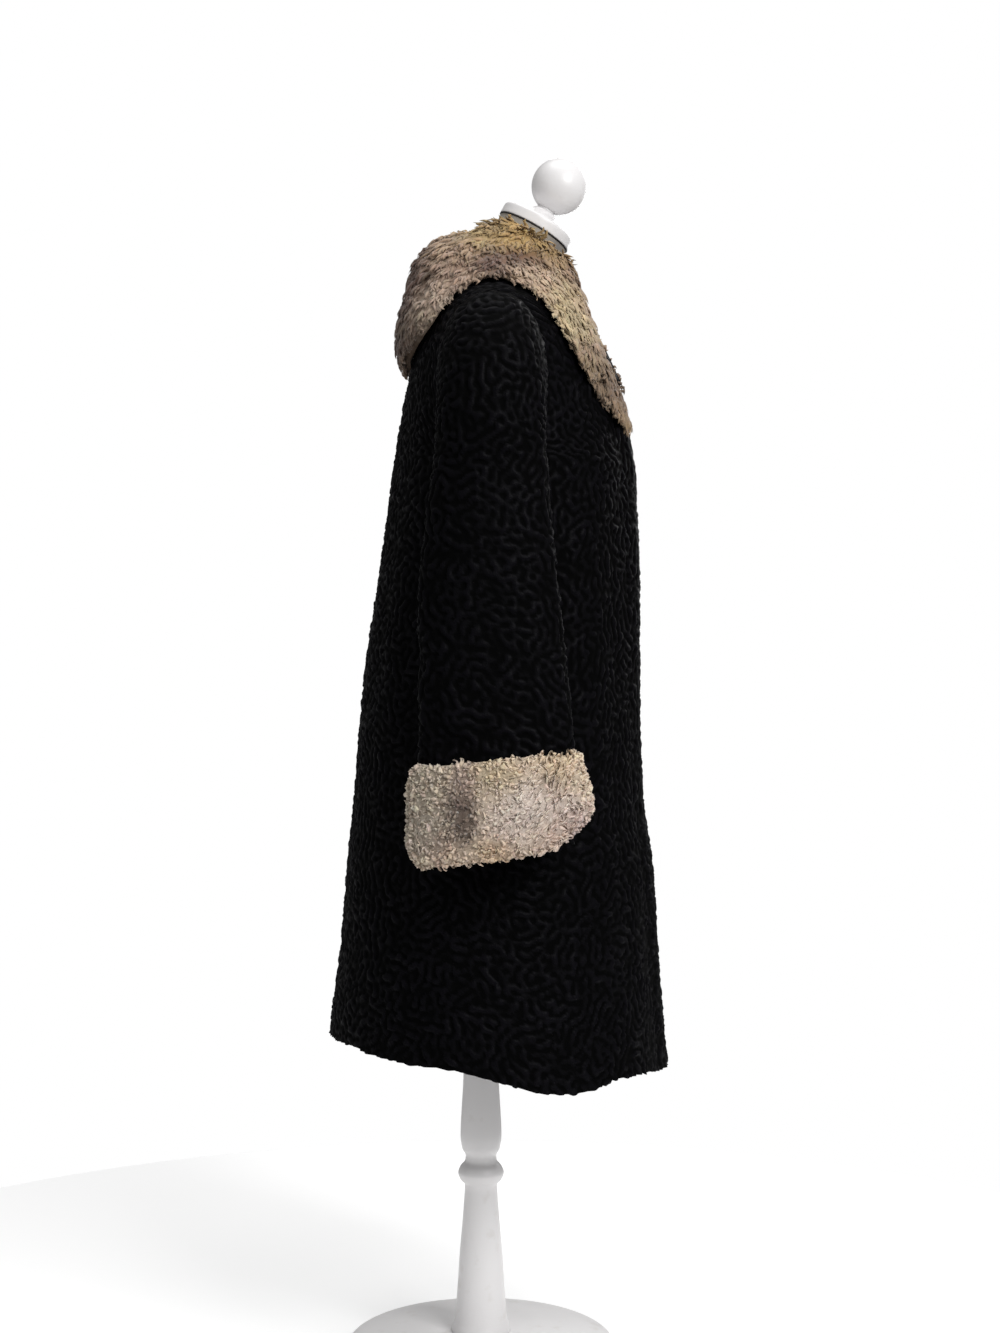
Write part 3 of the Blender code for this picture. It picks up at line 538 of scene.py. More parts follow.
@dataclass(frozen=True)
class Lining:
    """Black satin on the coat's inner side."""

    colour: Colour = (0.006, 0.006, 0.007)
    faint: float = 0.55

    def material(self) -> bpy.types.Material:
        """Build the lining's material.

        Returns:
            The material.
        """
        nodes = Nodes.named("black_satin_lining")
        low = tuple(share * self.faint for share in self.colour)
        faint = nodes.mixed(nodes.noise(6.0), self.colour, low)
        weave = nodes.bump(nodes.noise(900.0, 1.0, (1.0, 1.0, 0.2)), 0.0002, 0.5)
        return nodes.finish(faint, 0.38, weave, Specular_IOR_Level=0.2)


@dataclass(frozen=True)
class PaleFur:
    """Undyed lambskin; each lock brings its own tint, and painted shade makes its root darker than
    its tip.
    """

    name: str
    # painted shade at a lock's root, as a factor on its tint
    root: float = 0.94
    strands: float = 2.6            # cells of the strand noise over a lock's girth

    def material(self) -> bpy.types.Material:
        """Build the fur's material.

        Returns:
            The material.
        """
        nodes = Nodes.named(self.name)
        # painted shade: darkest at each lock's root, gone from halfway to its tip
        deep = nodes.mixed(nodes.noise(40.0), (self.root,) * 3, (self.root * 0.85,) * 3)
        root_shading = nodes.mixed(nodes.fitted(nodes.own("along"), (0.0, 0.5)), deep, WHITE)
        # the tint with that painted shade at the root
        worn = nodes.mixed(1.0, nodes.own("tint", "Color"), root_shading, "MULTIPLY")
        hair = nodes.noise(self.strands, 3.0, place=nodes.own("strand", "Vector"))
        # painted shade between the strands, from the strand noise
        colour = nodes.mixed(nodes.fitted(hair, (0.34, 0.66)), worn, FUR_SHADE, "MULTIPLY")
        return nodes.finish(colour, 0.85, nodes.bump(hair, 0.0010, 0.7), Specular_IOR_Level=0.15,
                            Sheen_Weight=0.30, Sheen_Roughness=0.5)


@dataclass(frozen=True)
class FurSkin:
    """The skin and dense underfur that the locks grow from, in the same tints."""

    name: str

    def material(self) -> bpy.types.Material:
        """Build the underfur's material.

        Returns:
            The material.
        """
        nodes = Nodes.named(self.name)
        # painted shade between the underfur's clumps, from noise
        clumps = nodes.fitted(nodes.noise(170.0, 3.0), (0.35, 0.65))
        shade = nodes.mixed(clumps, FUR_SHADE, WHITE)
        colour = nodes.mixed(1.0, nodes.own("tint", "Color"), shade, "MULTIPLY")
        return nodes.finish(colour, 0.95, nodes.bump(nodes.noise(420.0, 3.0), 0.0020, 0.8),
                            Specular_IOR_Level=0.15)


@dataclass(frozen=True)
class FormCover:
    """Cream linen over the padded form, greyer and soiled in patches."""

    cream: Colour = (0.40, 0.37, 0.32)
    grey: Colour = (0.22, 0.205, 0.195)
    thread: Colour = (0.84, 0.83, 0.81)

    def material(self) -> bpy.types.Material:
        """Build the linen's material.

        Returns:
            The material.
        """
        nodes = Nodes.named("form_linen")
        soil = nodes.fitted(nodes.noise(14.0, 3.0), (0.40, 0.66))
        base = nodes.mixed(soil, self.cream, self.grey)
        threads = nodes.noise(1500.0, 1.0, (1.0, 1.0, 0.12))
        across = nodes.noise(1500.0, 1.0, (0.12, 0.12, 1.0))
        colour = nodes.mixed(nodes.fitted(threads, (0.3, 0.7)), base, self.thread, "MULTIPLY")
        normal = nodes.bump(across, 0.0003, 0.5, nodes.bump(threads, 0.0003, 0.5))
        return nodes.finish(colour, 0.9, normal, Specular_IOR_Level=0.2, Sheen_Weight=0.08)


@dataclass(frozen=True)
class BlackBand:
    """Black woven band under the cap."""

    low: Colour = (0.008, 0.008, 0.009)
    high: Colour = (0.020, 0.020, 0.022)

    def material(self) -> bpy.types.Material:
        """Build the band's material.

        Returns:
            The material.
        """
        nodes = Nodes.named("black_woven_band")
        ribs = nodes.noise(1300.0, 1.0, (1.0, 1.0, 0.25))
        return nodes.finish(nodes.mixed(ribs, self.low, self.high), 0.6,
                            nodes.bump(ribs, 0.0003, 0.5), Specular_IOR_Level=0.4)


@dataclass(frozen=True)
class WhitePaint:
    """White satin paint over turned wood, a little worn and uneven."""

    white: Colour = (0.78, 0.765, 0.765)
    worn: Colour = (0.66, 0.63, 0.60)

    def material(self) -> bpy.types.Material:
        """Build the paint's material.

        Returns:
            The material.
        """
        nodes = Nodes.named("white_satin_paint")
        marks = nodes.fitted(nodes.noise(38.0, 4.0), (0.60, 0.74), (0.0, 0.55))
        rough = nodes.fitted(nodes.noise(60.0), (0.3, 0.7), (0.30, 0.42))
        turning = nodes.bump(nodes.noise(160.0, 2.0, (0.15, 0.15, 1.0)), 0.0004, 0.30)
        return nodes.finish(nodes.mixed(marks, self.white, self.worn), rough,
                            nodes.bump(nodes.noise(420.0), 0.0002, 0.35, turning),
                            Specular_IOR_Level=0.5, Coat_Weight=0.15, Coat_Roughness=0.25)


# ---------------------------------------------------------------- meshes
SLIT_MARK = 0.01            # column number that tells the slit's two sides apart
NEAR = 0.1                  # less than this from a row or column number is on it


@dataclass
class Skin:
    """Outer and inner points of a cloth piece on a grid, and the curl's height there."""

    outer: Array
    inner: Array
    curl: Array


def read(items: bpy.types.bpy_prop_collection, name: str, width: int = 1,
         kind: type = np.int32) -> Array:
    """Read one property of every item of a mesh's list.

    Args:
        items: The list.
        name: The property.
        width: Numbers for each item.
        kind: Type of number.

    Returns:
        The numbers, a row for each item if there are several.
    """
    values = np.empty(len(items) * width, kind)
    items.foreach_get(name, values)
    return values.reshape(-1, width) if width > 1 else values


def places(mesh: bpy.types.Mesh) -> Array:
    """Places of a mesh's corners."""
    return read(mesh.vertices, "co", 3, np.float32).astype(float)


def poured(name: str, bm: bmesh.types.BMesh) -> bpy.types.Mesh:
    """Move a working mesh into a new mesh.

    Args:
        name: The new mesh's name.
        bm: The working mesh, which is freed.

    Returns:
        The new mesh.
    """
    mesh = bpy.data.meshes.new(name)
    bm.to_mesh(mesh)
    bm.free()
    return mesh


def wrapped(name: str, grid: Array, ends: bool = False) -> bpy.types.Mesh:
    """Lay a closed mesh over a grid whose opposite sides meet.

    Args:
        name: The mesh's name.
        grid: Grid of points.
        ends: True to fill the holes that are left.

    Returns:
        The mesh.
    """
    rows, columns = grid.shape[0] - 1, grid.shape[1] - 1
    bm = bmesh.new()
    bmesh.ops.create_grid(bm, x_segments=rows, y_segments=columns, size=0.5)
    for end in bm.verts:
        end.co = grid[round((end.co.x + 0.5) * rows), round((end.co.y + 0.5) * columns)]
    bmesh.ops.remove_doubles(bm, verts=bm.verts, dist=1e-6)
    if ends:
        bmesh.ops.holes_fill(bm, edges=[edge for edge in bm.edges if edge.is_boundary], sides=0)
    bmesh.ops.recalc_face_normals(bm, faces=bm.faces)
    return poured(name, bm)


def slab(rows: int, first: int, last: int, slit_row: int | None = None,
         ratio: int = 8) -> bmesh.types.BMesh:
    """Make a flat closed wall whose corners stand at their own row and column numbers.

    Args:
        rows: Faces along the outer grid.
        first: Number of the first column.
        last: Number of the last column.
        slit_row: The row from which the wall is slit open along column 0.
        ratio: Outer faces for each inner face, along either way.

    Returns:
        The wall, its outer grid at height 0 and its inner grid at height 1.
    """
    bm = bmesh.new()
    for level, step in ((0.0, 1), (1.0, ratio)):
        made = bmesh.ops.create_grid(bm, x_segments=rows // step, y_segments=(last - first) // step,
                                     size=0.5)
        place = Matrix.Translation((rows / 2, (first + last) / 2, level))
        place = place @ Matrix.Diagonal((rows, last - first, 1.0, 1.0))
        bmesh.ops.transform(bm, matrix=place, verts=made["verts"])
    if slit_row is not None:
        open_it(bm, slit_row)
    rims = [edge for edge in bm.edges if edge.is_boundary]
    coarse = {corner_key(end, ratio): end for edge in rims for end in edge.verts if end.co.z > 0.5}
    dense = [edge for edge in rims if edge.verts[0].co.z < 0.5]
    pulled = bmesh.ops.extrude_edge_only(bm, edges=dense)["geom"]
    targets = {}
    for end in (item for item in pulled if isinstance(item, bmesh.types.BMVert)):
        row, column, side = corner_key(end, ratio)
        targets[end] = coarse.get((row, column, side)) or coarse[(row, column, 0)]
    bmesh.ops.weld_verts(bm, targetmap=targets)
    bmesh.ops.recalc_face_normals(bm, faces=bm.faces)
    return bm


def open_it(bm: bmesh.types.BMesh, row: int) -> None:
    """Slit both grids of a slab along column 0.

    Args:
        bm: The slab.
        row: The row from which the slit runs to the last one.
    """
    cut = [edge for edge in bm.edges
           if all(abs(end.co.y) < NEAR and end.co.x > row - NEAR for end in edge.verts)]
    bmesh.ops.split_edges(bm, edges=cut)
    for end in bm.verts:
        if abs(end.co.y) < NEAR and end.co.x > row + NEAR:
            end.co.y = math.copysign(SLIT_MARK, end.link_faces[0].calc_center_median().y)


def corner_key(end: bmesh.types.BMVert, ratio: int) -> tuple[int, int, int]:
    """Coarse row, coarse column and side of a corner of a slab."""
    side = 0 if abs(end.co.y) < SLIT_MARK / 2 else int(math.copysign(1, end.co.y))
    return round(end.co.x / ratio), round(end.co.y / ratio), side


def dressed(name: str, mesh: bpy.types.Mesh, *materials: bpy.types.Material) -> bpy.types.Object:
    """Put a mesh in the scene, smooth-shaded.

    Args:
        name: The object's name.
        mesh: The mesh.
        *materials: Its materials.

    Returns:
        The object.
    """
    for material in materials:
        mesh.materials.append(material)
    mesh.shade_smooth()
    made = bpy.data.objects.new(name, mesh)
    bpy.context.scene.collection.objects.link(made)
    return made


def settled(pieces: Sequence[bpy.types.Object]) -> list[bpy.types.Object]:
    """Let pieces ride on the root.

    Args:
        pieces: The pieces.

    Returns:
        The same pieces.
    """
    for piece in pieces:
        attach(piece, "root")
    return list(pieces)


def carry(mesh: bpy.types.Mesh, name: str, values: Array) -> None:
    """Store a number or a colour for each corner of a mesh.

    Args:
        mesh: The mesh.
        name: Name that a finish reads.
        values: Numbers, or rows of three.
    """
    if values.ndim == 1:
        layer = mesh.attributes.new(name, "FLOAT", "POINT")
        layer.data.foreach_set("value", values.astype(np.float32))
        return
    layer = mesh.attributes.new(name, "FLOAT_COLOR", "POINT")
    full = np.concatenate([values, np.ones((len(values), 1))], axis=1)
    layer.data.foreach_set("color", full.astype(np.float32).ravel())


def walled(name: str, flat: bmesh.types.BMesh, skins: dict[float, Skin],
           materials: Sequence[bpy.types.Material]) -> bpy.types.Object:
    """Bend a slab on to its skins.

    Args:
        name: The piece's name.
        flat: A slab.
        skins: The skin of each side, by the sign of the side's x.
        materials: The outer side's and the inner side's.

    Returns:
        The closed piece, sharp along its rims.
    """
    mesh = poured(name, flat)
    numbers = places(mesh)
    row, column = np.rint(numbers[:, 0]).astype(int), np.abs(np.rint(numbers[:, 1])).astype(int)
    inside = numbers[:, 2] > 0.5
    only = next(iter(skins))
    side = np.where(numbers[:, 1] < 0.0, -1.0, 1.0) if len(skins) > 1 else np.full(len(row), only)
    spots, curl = np.empty((len(row), 3)), np.zeros(len(row))
    for sign, skin in skins.items():
        outer, inner = (side == sign) & ~inside, (side == sign) & inside
        spots[outer] = skin.outer[row[outer], column[outer]]
        spots[inner] = skin.inner[row[inner], column[inner]]
        curl[outer] = skin.curl[row[outer], column[outer]]
    mesh.vertices.foreach_set("co", np.ascontiguousarray(spots, np.float32).ravel())
    mesh.update()
    mesh.calc_loop_triangles()
    a, b, c = spots[read(mesh.loop_triangles, "vertices", 3)].transpose(1, 0, 2)
    if float(np.einsum("ij,ij->i", a, np.cross(b, c)).sum()) < 0.0:
        mesh.flip_normals()
    carry(mesh, "curl", curl)
    starts = read(mesh.polygons, "loop_start")
    lined = inside[read(mesh.loops, "vertex_index")].astype(np.int32)
    mesh.polygons.foreach_set("material_index", np.minimum.reduceat(lined, starts))
    on_skin = np.maximum.reduceat(lined, starts) == 0
    on_skin = np.repeat(on_skin, np.diff(np.append(starts, len(lined))))
    edges = read(mesh.loops, "edge_index")
    on_top, on_wall = np.zeros((2, len(mesh.edges)), bool)
    on_top[edges[on_skin]] = True
    on_wall[edges[~on_skin]] = True
    mesh.attributes.new("sharp_edge", "BOOLEAN", "EDGE").data.foreach_set("value", on_top & on_wall)
    return dressed(name, mesh, *materials)


# ---------------------------------------------------------------- curl and creases
@dataclass
class CurlPattern:
    """Short hooked ridges that turn from patch to patch like a pelt's, on a tile that repeats."""

    tile: float = 1.20
    cells: int = 1024
    patch: float = 0.027            # width of a patch whose ridges lie one way
    spacing: float = 0.0114
    band: float = 0.38
    stray: float = 0.35             # share of ridges that lie any way
    bend: float = 3.2               # cells that the ridges are pushed aside to make hooks
    bend_scale: float = 0.022
    bow: float = 0.06               # how far a ridge bows
    stretch: float = 0.75           # of a patch, along its ridges
    crisp: float = 1.6
    flat_top: float = 2.6           # how flat the ridges' tops are
    fullness: float = 0.50          # how much of the pelt the ridges cover
    break_scale: float = 0.013
    cut_spacing: float = 0.024      # between the places where a thin line cuts the ridges short
    cut_width: float = 0.16
    cut_depth: float = 0.75
    seed: int = 3
    height: Array = field(init=False)

    def __post_init__(self) -> None:
        """Grow the ridges."""
        rng = np.random.default_rng(self.seed)
        steps = np.fft.fftfreq(self.cells, self.tile / self.cells)
        reach = np.hypot(steps[:, None], steps[None, : self.cells // 2 + 1])
        ring = np.exp(-(((reach * self.spacing) - 1.0) / self.band) ** 2)

        def field_of(share: Array) -> Array:
            """Noise with each wavelength kept by its share."""
            return self.passed(rng.standard_normal((self.cells, self.cells)), share)

        bent = np.exp(-((reach * self.bend_scale) ** 2))
        grid = np.stack(np.indices((self.cells, self.cells))).astype(float)
        grid = grid + np.stack([field_of(bent), field_of(bent)]) * self.bend
        ridges = self.passed(self.patchwork(grid, rng), ring) + self.stray * field_of(ring)
        ridges = self.passed(np.tanh(self.crisp * ridges), ring)
        raised = np.tanh(self.flat_top * (ridges + self.fullness)) * 0.5 + 0.5
        broken = field_of(np.exp(-((reach * self.break_scale) ** 2)))
        cuts = field_of(np.exp(-(((reach * self.cut_spacing) - 1.0) / self.band) ** 2))
        raised = raised * (1.0 - self.cut_depth * np.exp(-((cuts / self.cut_width) ** 2)))
        self.height = raised * np.clip(0.70 + 0.22 * broken, 0.15, 1.1)

    def patchwork(self, grid: Array, rng: np.random.Generator) -> Array:
        """Draw parallel ridges in patches, each patch with its own direction.

        Args:
            grid: Row and column of each cell, pushed aside.
            rng: Source of the patches' places and directions.

        Returns:
            The ridges, -1 to 1.
        """
        count = round(self.tile / self.patch)
        shape = (count, count)
        seeds = rng.random((*shape, 2))
        way, phase = rng.uniform(0.0, math.pi, shape), rng.uniform(0.0, TURN, shape)
        waves = self.patch / self.spacing / rng.uniform(0.85, 1.15, shape)
        place = grid / self.cells * count
        home = np.floor(place).astype(int)
        nearest, ridges = np.full(grid.shape[1:], 1e9), np.zeros(grid.shape[1:])
        for offset in np.ndindex(3, 3):
            cell = home + np.asarray(offset)[:, None, None] - 1
            row, column = cell % count
            gap = place - cell - np.moveaxis(seeds[row, column], -1, 0)
            cosine, sine = np.cos(way[row, column]), np.sin(way[row, column])
            ahead, aside = cosine * gap[0] + sine * gap[1], cosine * gap[1] - sine * gap[0]
            wave = aside * waves[row, column] + self.bow * (ahead * waves[row, column]) ** 2
            far = (self.stretch * ahead) ** 2 + aside ** 2
            ridges = np.where(far < nearest, np.cos(TURN * wave + phase[row, column]), ridges)
            nearest = np.minimum(far, nearest)
        return ridges

    @staticmethod
    def passed(values: Array, share: Array) -> Array:
        """A field with each wavelength kept by its share, at unit spread."""
        kept = np.fft.irfft2(np.fft.rfft2(values) * share, s=values.shape)
        return kept / kept.std()

    def at(self, across: Array, along: Array) -> Array:
        """Read the curl's height on the flat pelt.

        Args:
            across: Metres across the pelt.
            along: Metres along it.

        Returns:
            Heights, about 0 to 1.
        """
        row, column = along * self.cells / self.tile, across * self.cells / self.tile
        low_row, low_column = np.floor(row).astype(int), np.floor(column).astype(int)
        down, over = row - low_row, column - low_column
        a, b = low_row % self.cells, low_column % self.cells
        c, d = (a + 1) % self.cells, (b + 1) % self.cells
        top = self.height[a, b] * (1 - over) + self.height[a, d] * over
        low = self.height[c, b] * (1 - over) + self.height[c, d] * over
        return top * (1 - down) + low * down


@dataclass(frozen=True)
class Crease:
    """A soft fold along a line on the wearer's left, or mirrored on the right."""

    start: Array
    end: Array
    depth: float
    width: float
    shoulder: float = 0.45      # how far the cloth beside the fold stands out, as a share of it
    shoulder_at: float = 1.9    # how far off the fold that is, in widths

    def lift(self, spots: Array) -> Array:
        """Find how far the cloth stands out or in.

        Args:
            spots: Places on the cloth.

        Returns:
            How far out each place is, negative for in.
        """
        line = self.end - self.start
        part = np.clip((spots - self.start) @ line / float(line @ line), 0.0, 1.0)
        gap = np.linalg.norm(spots - (self.start + part[..., None] * line), axis=-1) / self.width
        beside = self.shoulder * np.exp(-((gap - self.shoulder_at) ** 2))
        return self.depth * np.sqrt(4.0 * part * (1.0 - part)) * (beside - np.exp(-(gap ** 2)))


def creases(*rows: tuple[float, ...]) -> tuple[Crease, ...]:
    """Make creases from rows.

    Args:
        *rows: x, y, z of the start and the end, depth and width in mm; the shoulder's share.

    Returns:
        The creases.
    """
    return tuple(Crease(line[:3], line[3:6], line[6], line[7], *row[8:])
                 for row in rows for line in [np.array(row) / 1000.0])


# ---------------------------------------------------------------- the coat
@dataclass
class LambCoat:
    """The black lamb pieces: the back, two lapped fronts and two two-piece sleeves."""

    pattern: CurlPattern
    wall: float = 0.0055
    seam_wall: float = 0.0034
    pile: float = 0.0034            # curl from groove to top
    sunk: float = 0.0025            # grooves below the solid's surface
    hem_bumps: float = 0.0024
    hem_band: float = 0.012         # height over which the hem's bumps fade
    seam_width: float = 0.004
    seam_left: float = 0.38         # share of the curl's height that is left at a seam
    front_hem: Rows = (             # share of the way to the side, and mm that wear lifts the hem
        (0.0, 0), (0.15, 0), (0.25, 3.5), (0.35, 7.6), (0.45, 9.2), (0.55, 8.8), (0.62, 3.5),
        (0.70, -4.6), (0.80, -8), (0.87, -7.8), (0.94, -3.5), (1.0, 0),
    )
    back_hem: Rows = (
        (0.0, 14.5), (0.25, 14.5), (0.38, 13.5), (0.50, 8.5), (0.60, 4.8), (0.70, 2.4),
        (0.80, 3.6), (0.87, 4), (0.94, 2), (1.0, 0),
    )
    skirt_rows: int = 264
    yoke_rows: int = 96
    half_back: int = 120
    front_columns: int = 128
    upper_faces: tuple[int, int] = (240, 104)       # along and across a sleeve's upper half
    under_faces: tuple[int, int] = (168, 56)
    trial_steps: int = 400          # to measure the sleeve's length
    girth_steps: tuple[int, int] = (80, 40)         # to measure each half's width
    sleeve_cut: float = 0.37        # where on the pelt the sleeves are cut
    sleeve_ease: float = 0.012      # evens out the sleeve's rows
    blend_width: float = 0.014      # curls run together over the sleeve's front seam
    body_creases: tuple[Crease, ...] = creases(
        (115, 112, 1185, 150, 165, 700, 3.4, 30), (45, 120, 1120, 70, 180, 520, 2.2, 36),
        (185, 75, 1060, 215, 110, 560, 3.0, 26), (120, -165, 1090, 175, -195, 500, 3.4, 28),
        (200, -80, 1060, 238, -110, 610, 2.6, 24),
    )
    other_creases: tuple[Crease, ...] = creases(
        (100, 115, 1165, 128, 168, 640, 3.0, 34), (190, 70, 1050, 225, 95, 600, 3.2, 24),
        (105, -172, 1070, 140, -205, 470, 2.8, 32), (202, -78, 1080, 246, -100, 520, 3.0, 26),
    )
    sleeve_creases: tuple[Crease, ...] = creases(
        (318, 58, 832, 296, 30, 790, 3.0, 10), (312, 66, 800, 318, 8, 774, 3.4, 11),
        (250, 60, 905, 300, 68, 865, 2.8, 14), (300, -80, 1020, 318, -98, 800, 1.8, 16),
        (240, 50, 1060, 256, 58, 960, 2.6, 14),
    )

    def __post_init__(self) -> None:
        """Make the two materials that every piece shares."""
        self.materials = (BlackLamb().material(), Lining().material())

    def build(self) -> list[bpy.types.Object]:
        """Build every lamb piece.

        Returns:
            The pieces, dressed, the solids that they replace hidden.
        """
        pieces = [self.back()]
        for side in Side:
            pieces += [self.front(side), *(self.sleeve(side, half) for half in Half)]
        return pieces

    def skin(self, spots: Array, outward: float, side: Side, flat_x: Array,
             folds: Sequence[Crease], hem: bool, rise: Array | float = 0.0,
             join: tuple[Array, Array] | None = None) -> Skin:
        """Lay curl and creases on a piece's surface.

        Args:
            spots: The solid's surface on a grid, on the wearer's left.
            outward: Sign that makes the grid's normals point out.
            side: The side that the piece is on.
            flat_x: How far across the flat pelt each point is, the same on both sides of a seam.
            folds: Creases of the piece.
            hem: True if the first row is a free lower edge and the last a seam, else the reverse.
            rise: How far the piece is raised off the surface.
            join: Where the next piece's points would lie on the pelt, and their share here.

        Returns:
            The piece's skin, on its own side.
        """
        normals = grid_normals(spots) * outward
        along = grid_lengths(spots, 0)
        left = along[-1:] - along
        curl = self.pattern.at(flat_x, along if hem else -left)
        if join is not None:
            other, share = join
            curl = curl + share * (self.pattern.at(other, -left) - curl)
        near = ease(left if hem else along, 0.0, self.seam_width)
        near = self.seam_left + (1.0 - self.seam_left) * near
        fold = sum(crease.lift(spots) for crease in folds)
        lift = (curl * self.pile - self.sunk) * near + fold * ease(near, 0.5, 0.9) + rise
        outer = spots + normals * lift[..., None]
        if hem:
            outer[..., 2] -= (curl - 0.5) * self.hem_bumps * (1.0 - ease(along, 0.0, self.hem_band))
        thick = self.seam_wall + (self.wall - self.seam_wall) * ease(near, 0.6, 1.0)
        inner = spots + normals * (np.minimum(fold, 0.0) + rise - thick)[..., None]
        return Skin(outer * side.mirror, inner * side.mirror, curl * near)

    def body_rows(self) -> Array:
        """Places of the body's rows, hem to shoulder."""
        skirt = np.linspace(0.0, 1.0, self.skirt_rows + 1)[:-1]
        return np.concatenate([skirt, np.linspace(1.0, 2.0, self.yoke_rows + 1)])

    def panel(self, back: bool) -> Array:
        """Find points of the left half of the back, or of the left front.

        Args:
            back: True for the back.

        Returns:
            A grid of points, the hem lifted by wear.
        """
        columns = self.half_back if back else self.front_columns
        v, u = mesh_of(self.body_rows(), np.linspace(0.0, 1.0, columns + 1))
        spots = body_surface(v, u, back)
        worn = smooth(metres(self.back_hem if back else self.front_hem), u[0])[:, 0]
        spots[..., 2] += worn * ease(1.0 - v, 0.8, 1.0)
        return spots

    def back(self) -> bpy.types.Object:
        """Build the back, one piece from side seam to side seam.

        Returns:
            The back.
        """
        spots = self.panel(True)
        across = grid_lengths(spots, 1)
        whole = self.body_rows() <= NECKLINE_START + 1e-6
        skins = {}
        for side, folds in ((Side.LEFT, self.other_creases), (Side.RIGHT, self.body_creases)):
            made = self.skin(spots, 1.0, side, side.value * across, folds, True)
            made.outer[whole, 0, 0] = made.inner[whole, 0, 0] = 0.0
            skins[side.value] = made
        slit = self.skirt_rows + round((NECKLINE_START - 1.0) * self.yoke_rows)
        flat = slab(self.skirt_rows + self.yoke_rows, -self.half_back, self.half_back, slit)
        made = walled("back_panel", flat, skins, self.materials)
        return self.declare(made, "coat_back", (0.92, 1.04), 0.72, ["form_cover"])

    def front(self, side: Side) -> bpy.types.Object:
        """Build one front with its lap; the right one lies over the left.

        Args:
            side: The wearer's side.

        Returns:
            The front.
        """
        spots, right = self.panel(False), side is Side.RIGHT
        rise = LAP_RISE * ease(-spots[..., 0], *LAP_BLEND) if right else 0.0
        across = grid_lengths(spots, 1)
        widest = grid_lengths(self.panel(True), 1)[:, -1:] + across[:, -1:]
        widest[self.skirt_rows:] = widest[self.skirt_rows]
        skin = self.skin(spots, -1.0, side, side.value * (widest - across),
                         self.body_creases if right else self.other_creases, True, rise)
        flat = slab(self.skirt_rows + self.yoke_rows, 0, self.front_columns)
        made = walled(f"front_{side.word}", flat, {side.value: skin}, self.materials)
        return self.declare(made, f"coat_front_{side.word}", (0.50, 1.04), 0.40, ["form_cover"])

    def sleeve(self, side: Side, half: Half) -> bpy.types.Object:
        """Build half of a two-piece sleeve.

        Args:
            side: The wearer's side.
            half: Which half.

        Returns:
            The piece.
        """
        upper, word = half is Half.UPPER, half.name.lower()
        rows, columns = self.upper_faces if upper else self.under_faces
        trial = np.linspace(0.0, SLEEVE_END, self.trial_steps)[:, None]
        middle = np.full(trial.shape, sum(half.value) / 2.0)
        walked = grid_lengths(sleeve_surface(trial, middle), 0)[:, 0]
        walked = walked + self.sleeve_ease * trial[:, 0]
        steps = np.interp(np.linspace(0.0, walked[-1], rows + 1), walked, trial[:, 0])
        spots = sleeve_surface(*mesh_of(steps, np.linspace(*half.value, columns + 1)))
        girth = {}
        for part, count in zip(Half, self.girth_steps):
            round_arm = mesh_of(steps, np.linspace(*part.value, count))
            girth[part] = grid_lengths(sleeve_surface(*round_arm), 1)[:, -1:]
        own, to_middle = grid_lengths(spots, 1), 0.5 * girth[Half.UPPER]
        if upper:
            flat_x, gap = own - to_middle, own[:, -1:] - own
            other = -to_middle - girth[Half.UNDER] - gap
        else:
            flat_x, gap = own - girth[Half.UNDER] - to_middle, own
            other = to_middle + gap
        share = 0.5 * (1.0 - ease(gap, 0.0, self.blend_width))
        skin = self.skin(spots, -1.0, side, side.value * (flat_x + self.sleeve_cut),
                         self.sleeve_creases, False,
                         join=(side.value * (other + self.sleeve_cut), share))
        made = walled(f"sleeve_{word}_{side.word}", slab(rows, 0, columns), {side.value: skin},
                      self.materials)
        cut = ((0.32, 0.70), 0.185) if upper else ((0.17, 0.47), 0.070)
        return self.declare(made, f"sleeve_{side.word}_{word}", *cut, [f"front_{side.word}"])

    @staticmethod
    def declare(made: bpy.types.Object, node: str, flat: tuple[float, float], area: float,
                rests_on: list[str]) -> bpy.types.Object:
        """Say what a lamb piece replaces, rides on and was cut from.

        Args:
            made: The piece.
            node: The solid that it replaces.
            flat: Sides of the flat cut; not used.
            area: Its area; not used.
            rests_on: Pieces that it hangs on; not used.

        Returns:
            The piece.
        """
        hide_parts(node)
        settled([made])
        return made


# ---------------------------------------------------------------- fur
LOCK_LENGTHS = 4                # a lock is cut into this many lengths
GOLDEN = (0.7548776662466927, 0.5698402909980532)       # steps of an even sequence in a square
TIP = 0.999                     # height from which a lock's corner is its tip


@dataclass(frozen=True)
class Tints:
    """A fur's plain colour and its patches of other colours, seen from the side, in screen colours.
    """

    plain: tuple[int, int, int]
    hold: float                 # weight of the plain colour
    patches: Rows               # y, z and reach in mm, then red, green and blue

    def at(self, spots: Array) -> Array:
        """Blend the patches.

        Args:
            spots: Places.

        Returns:
            A linear colour for each place.
        """
        table = np.array(self.patches, float)
        y, z, reach = table[:, :3].T / 1000.0
        weight = np.exp(-((spots[:, 1:2] - y) ** 2 + (spots[:, 2:3] - z) ** 2) / reach ** 2)
        total = weight @ linear(table[:, 3:]) + self.hold * linear(self.plain)
        return total / (weight.sum(axis=1, keepdims=True) + self.hold)


def held_back(tint: Array, most: float = 0.92) -> Array:
    """Tints made darker where a channel is over the most, their hue kept."""
    return tint * np.minimum(1.0, most / np.maximum(tint.max(axis=1, keepdims=True), 1e-6))


def ripple(spots: Array, wavelength: float, seed: int) -> Array:
    """Find the rolling unevenness of a pile, from waves in seven directions.

    Args:
        spots: Places.
        wavelength: Its length in metres.
        seed: Seed of the waves' directions.

    Returns:
        Unevenness, -1.5 to 1.5.
    """
    rng = np.random.default_rng(seed)
    ways = unit(rng.standard_normal((7, 3))) * TURN / wavelength
    waves = np.sin(spots @ ways.T + rng.uniform(0.0, TURN, 7))
    return np.clip(waves.sum(axis=-1) / 1.9, -1.5, 1.5)


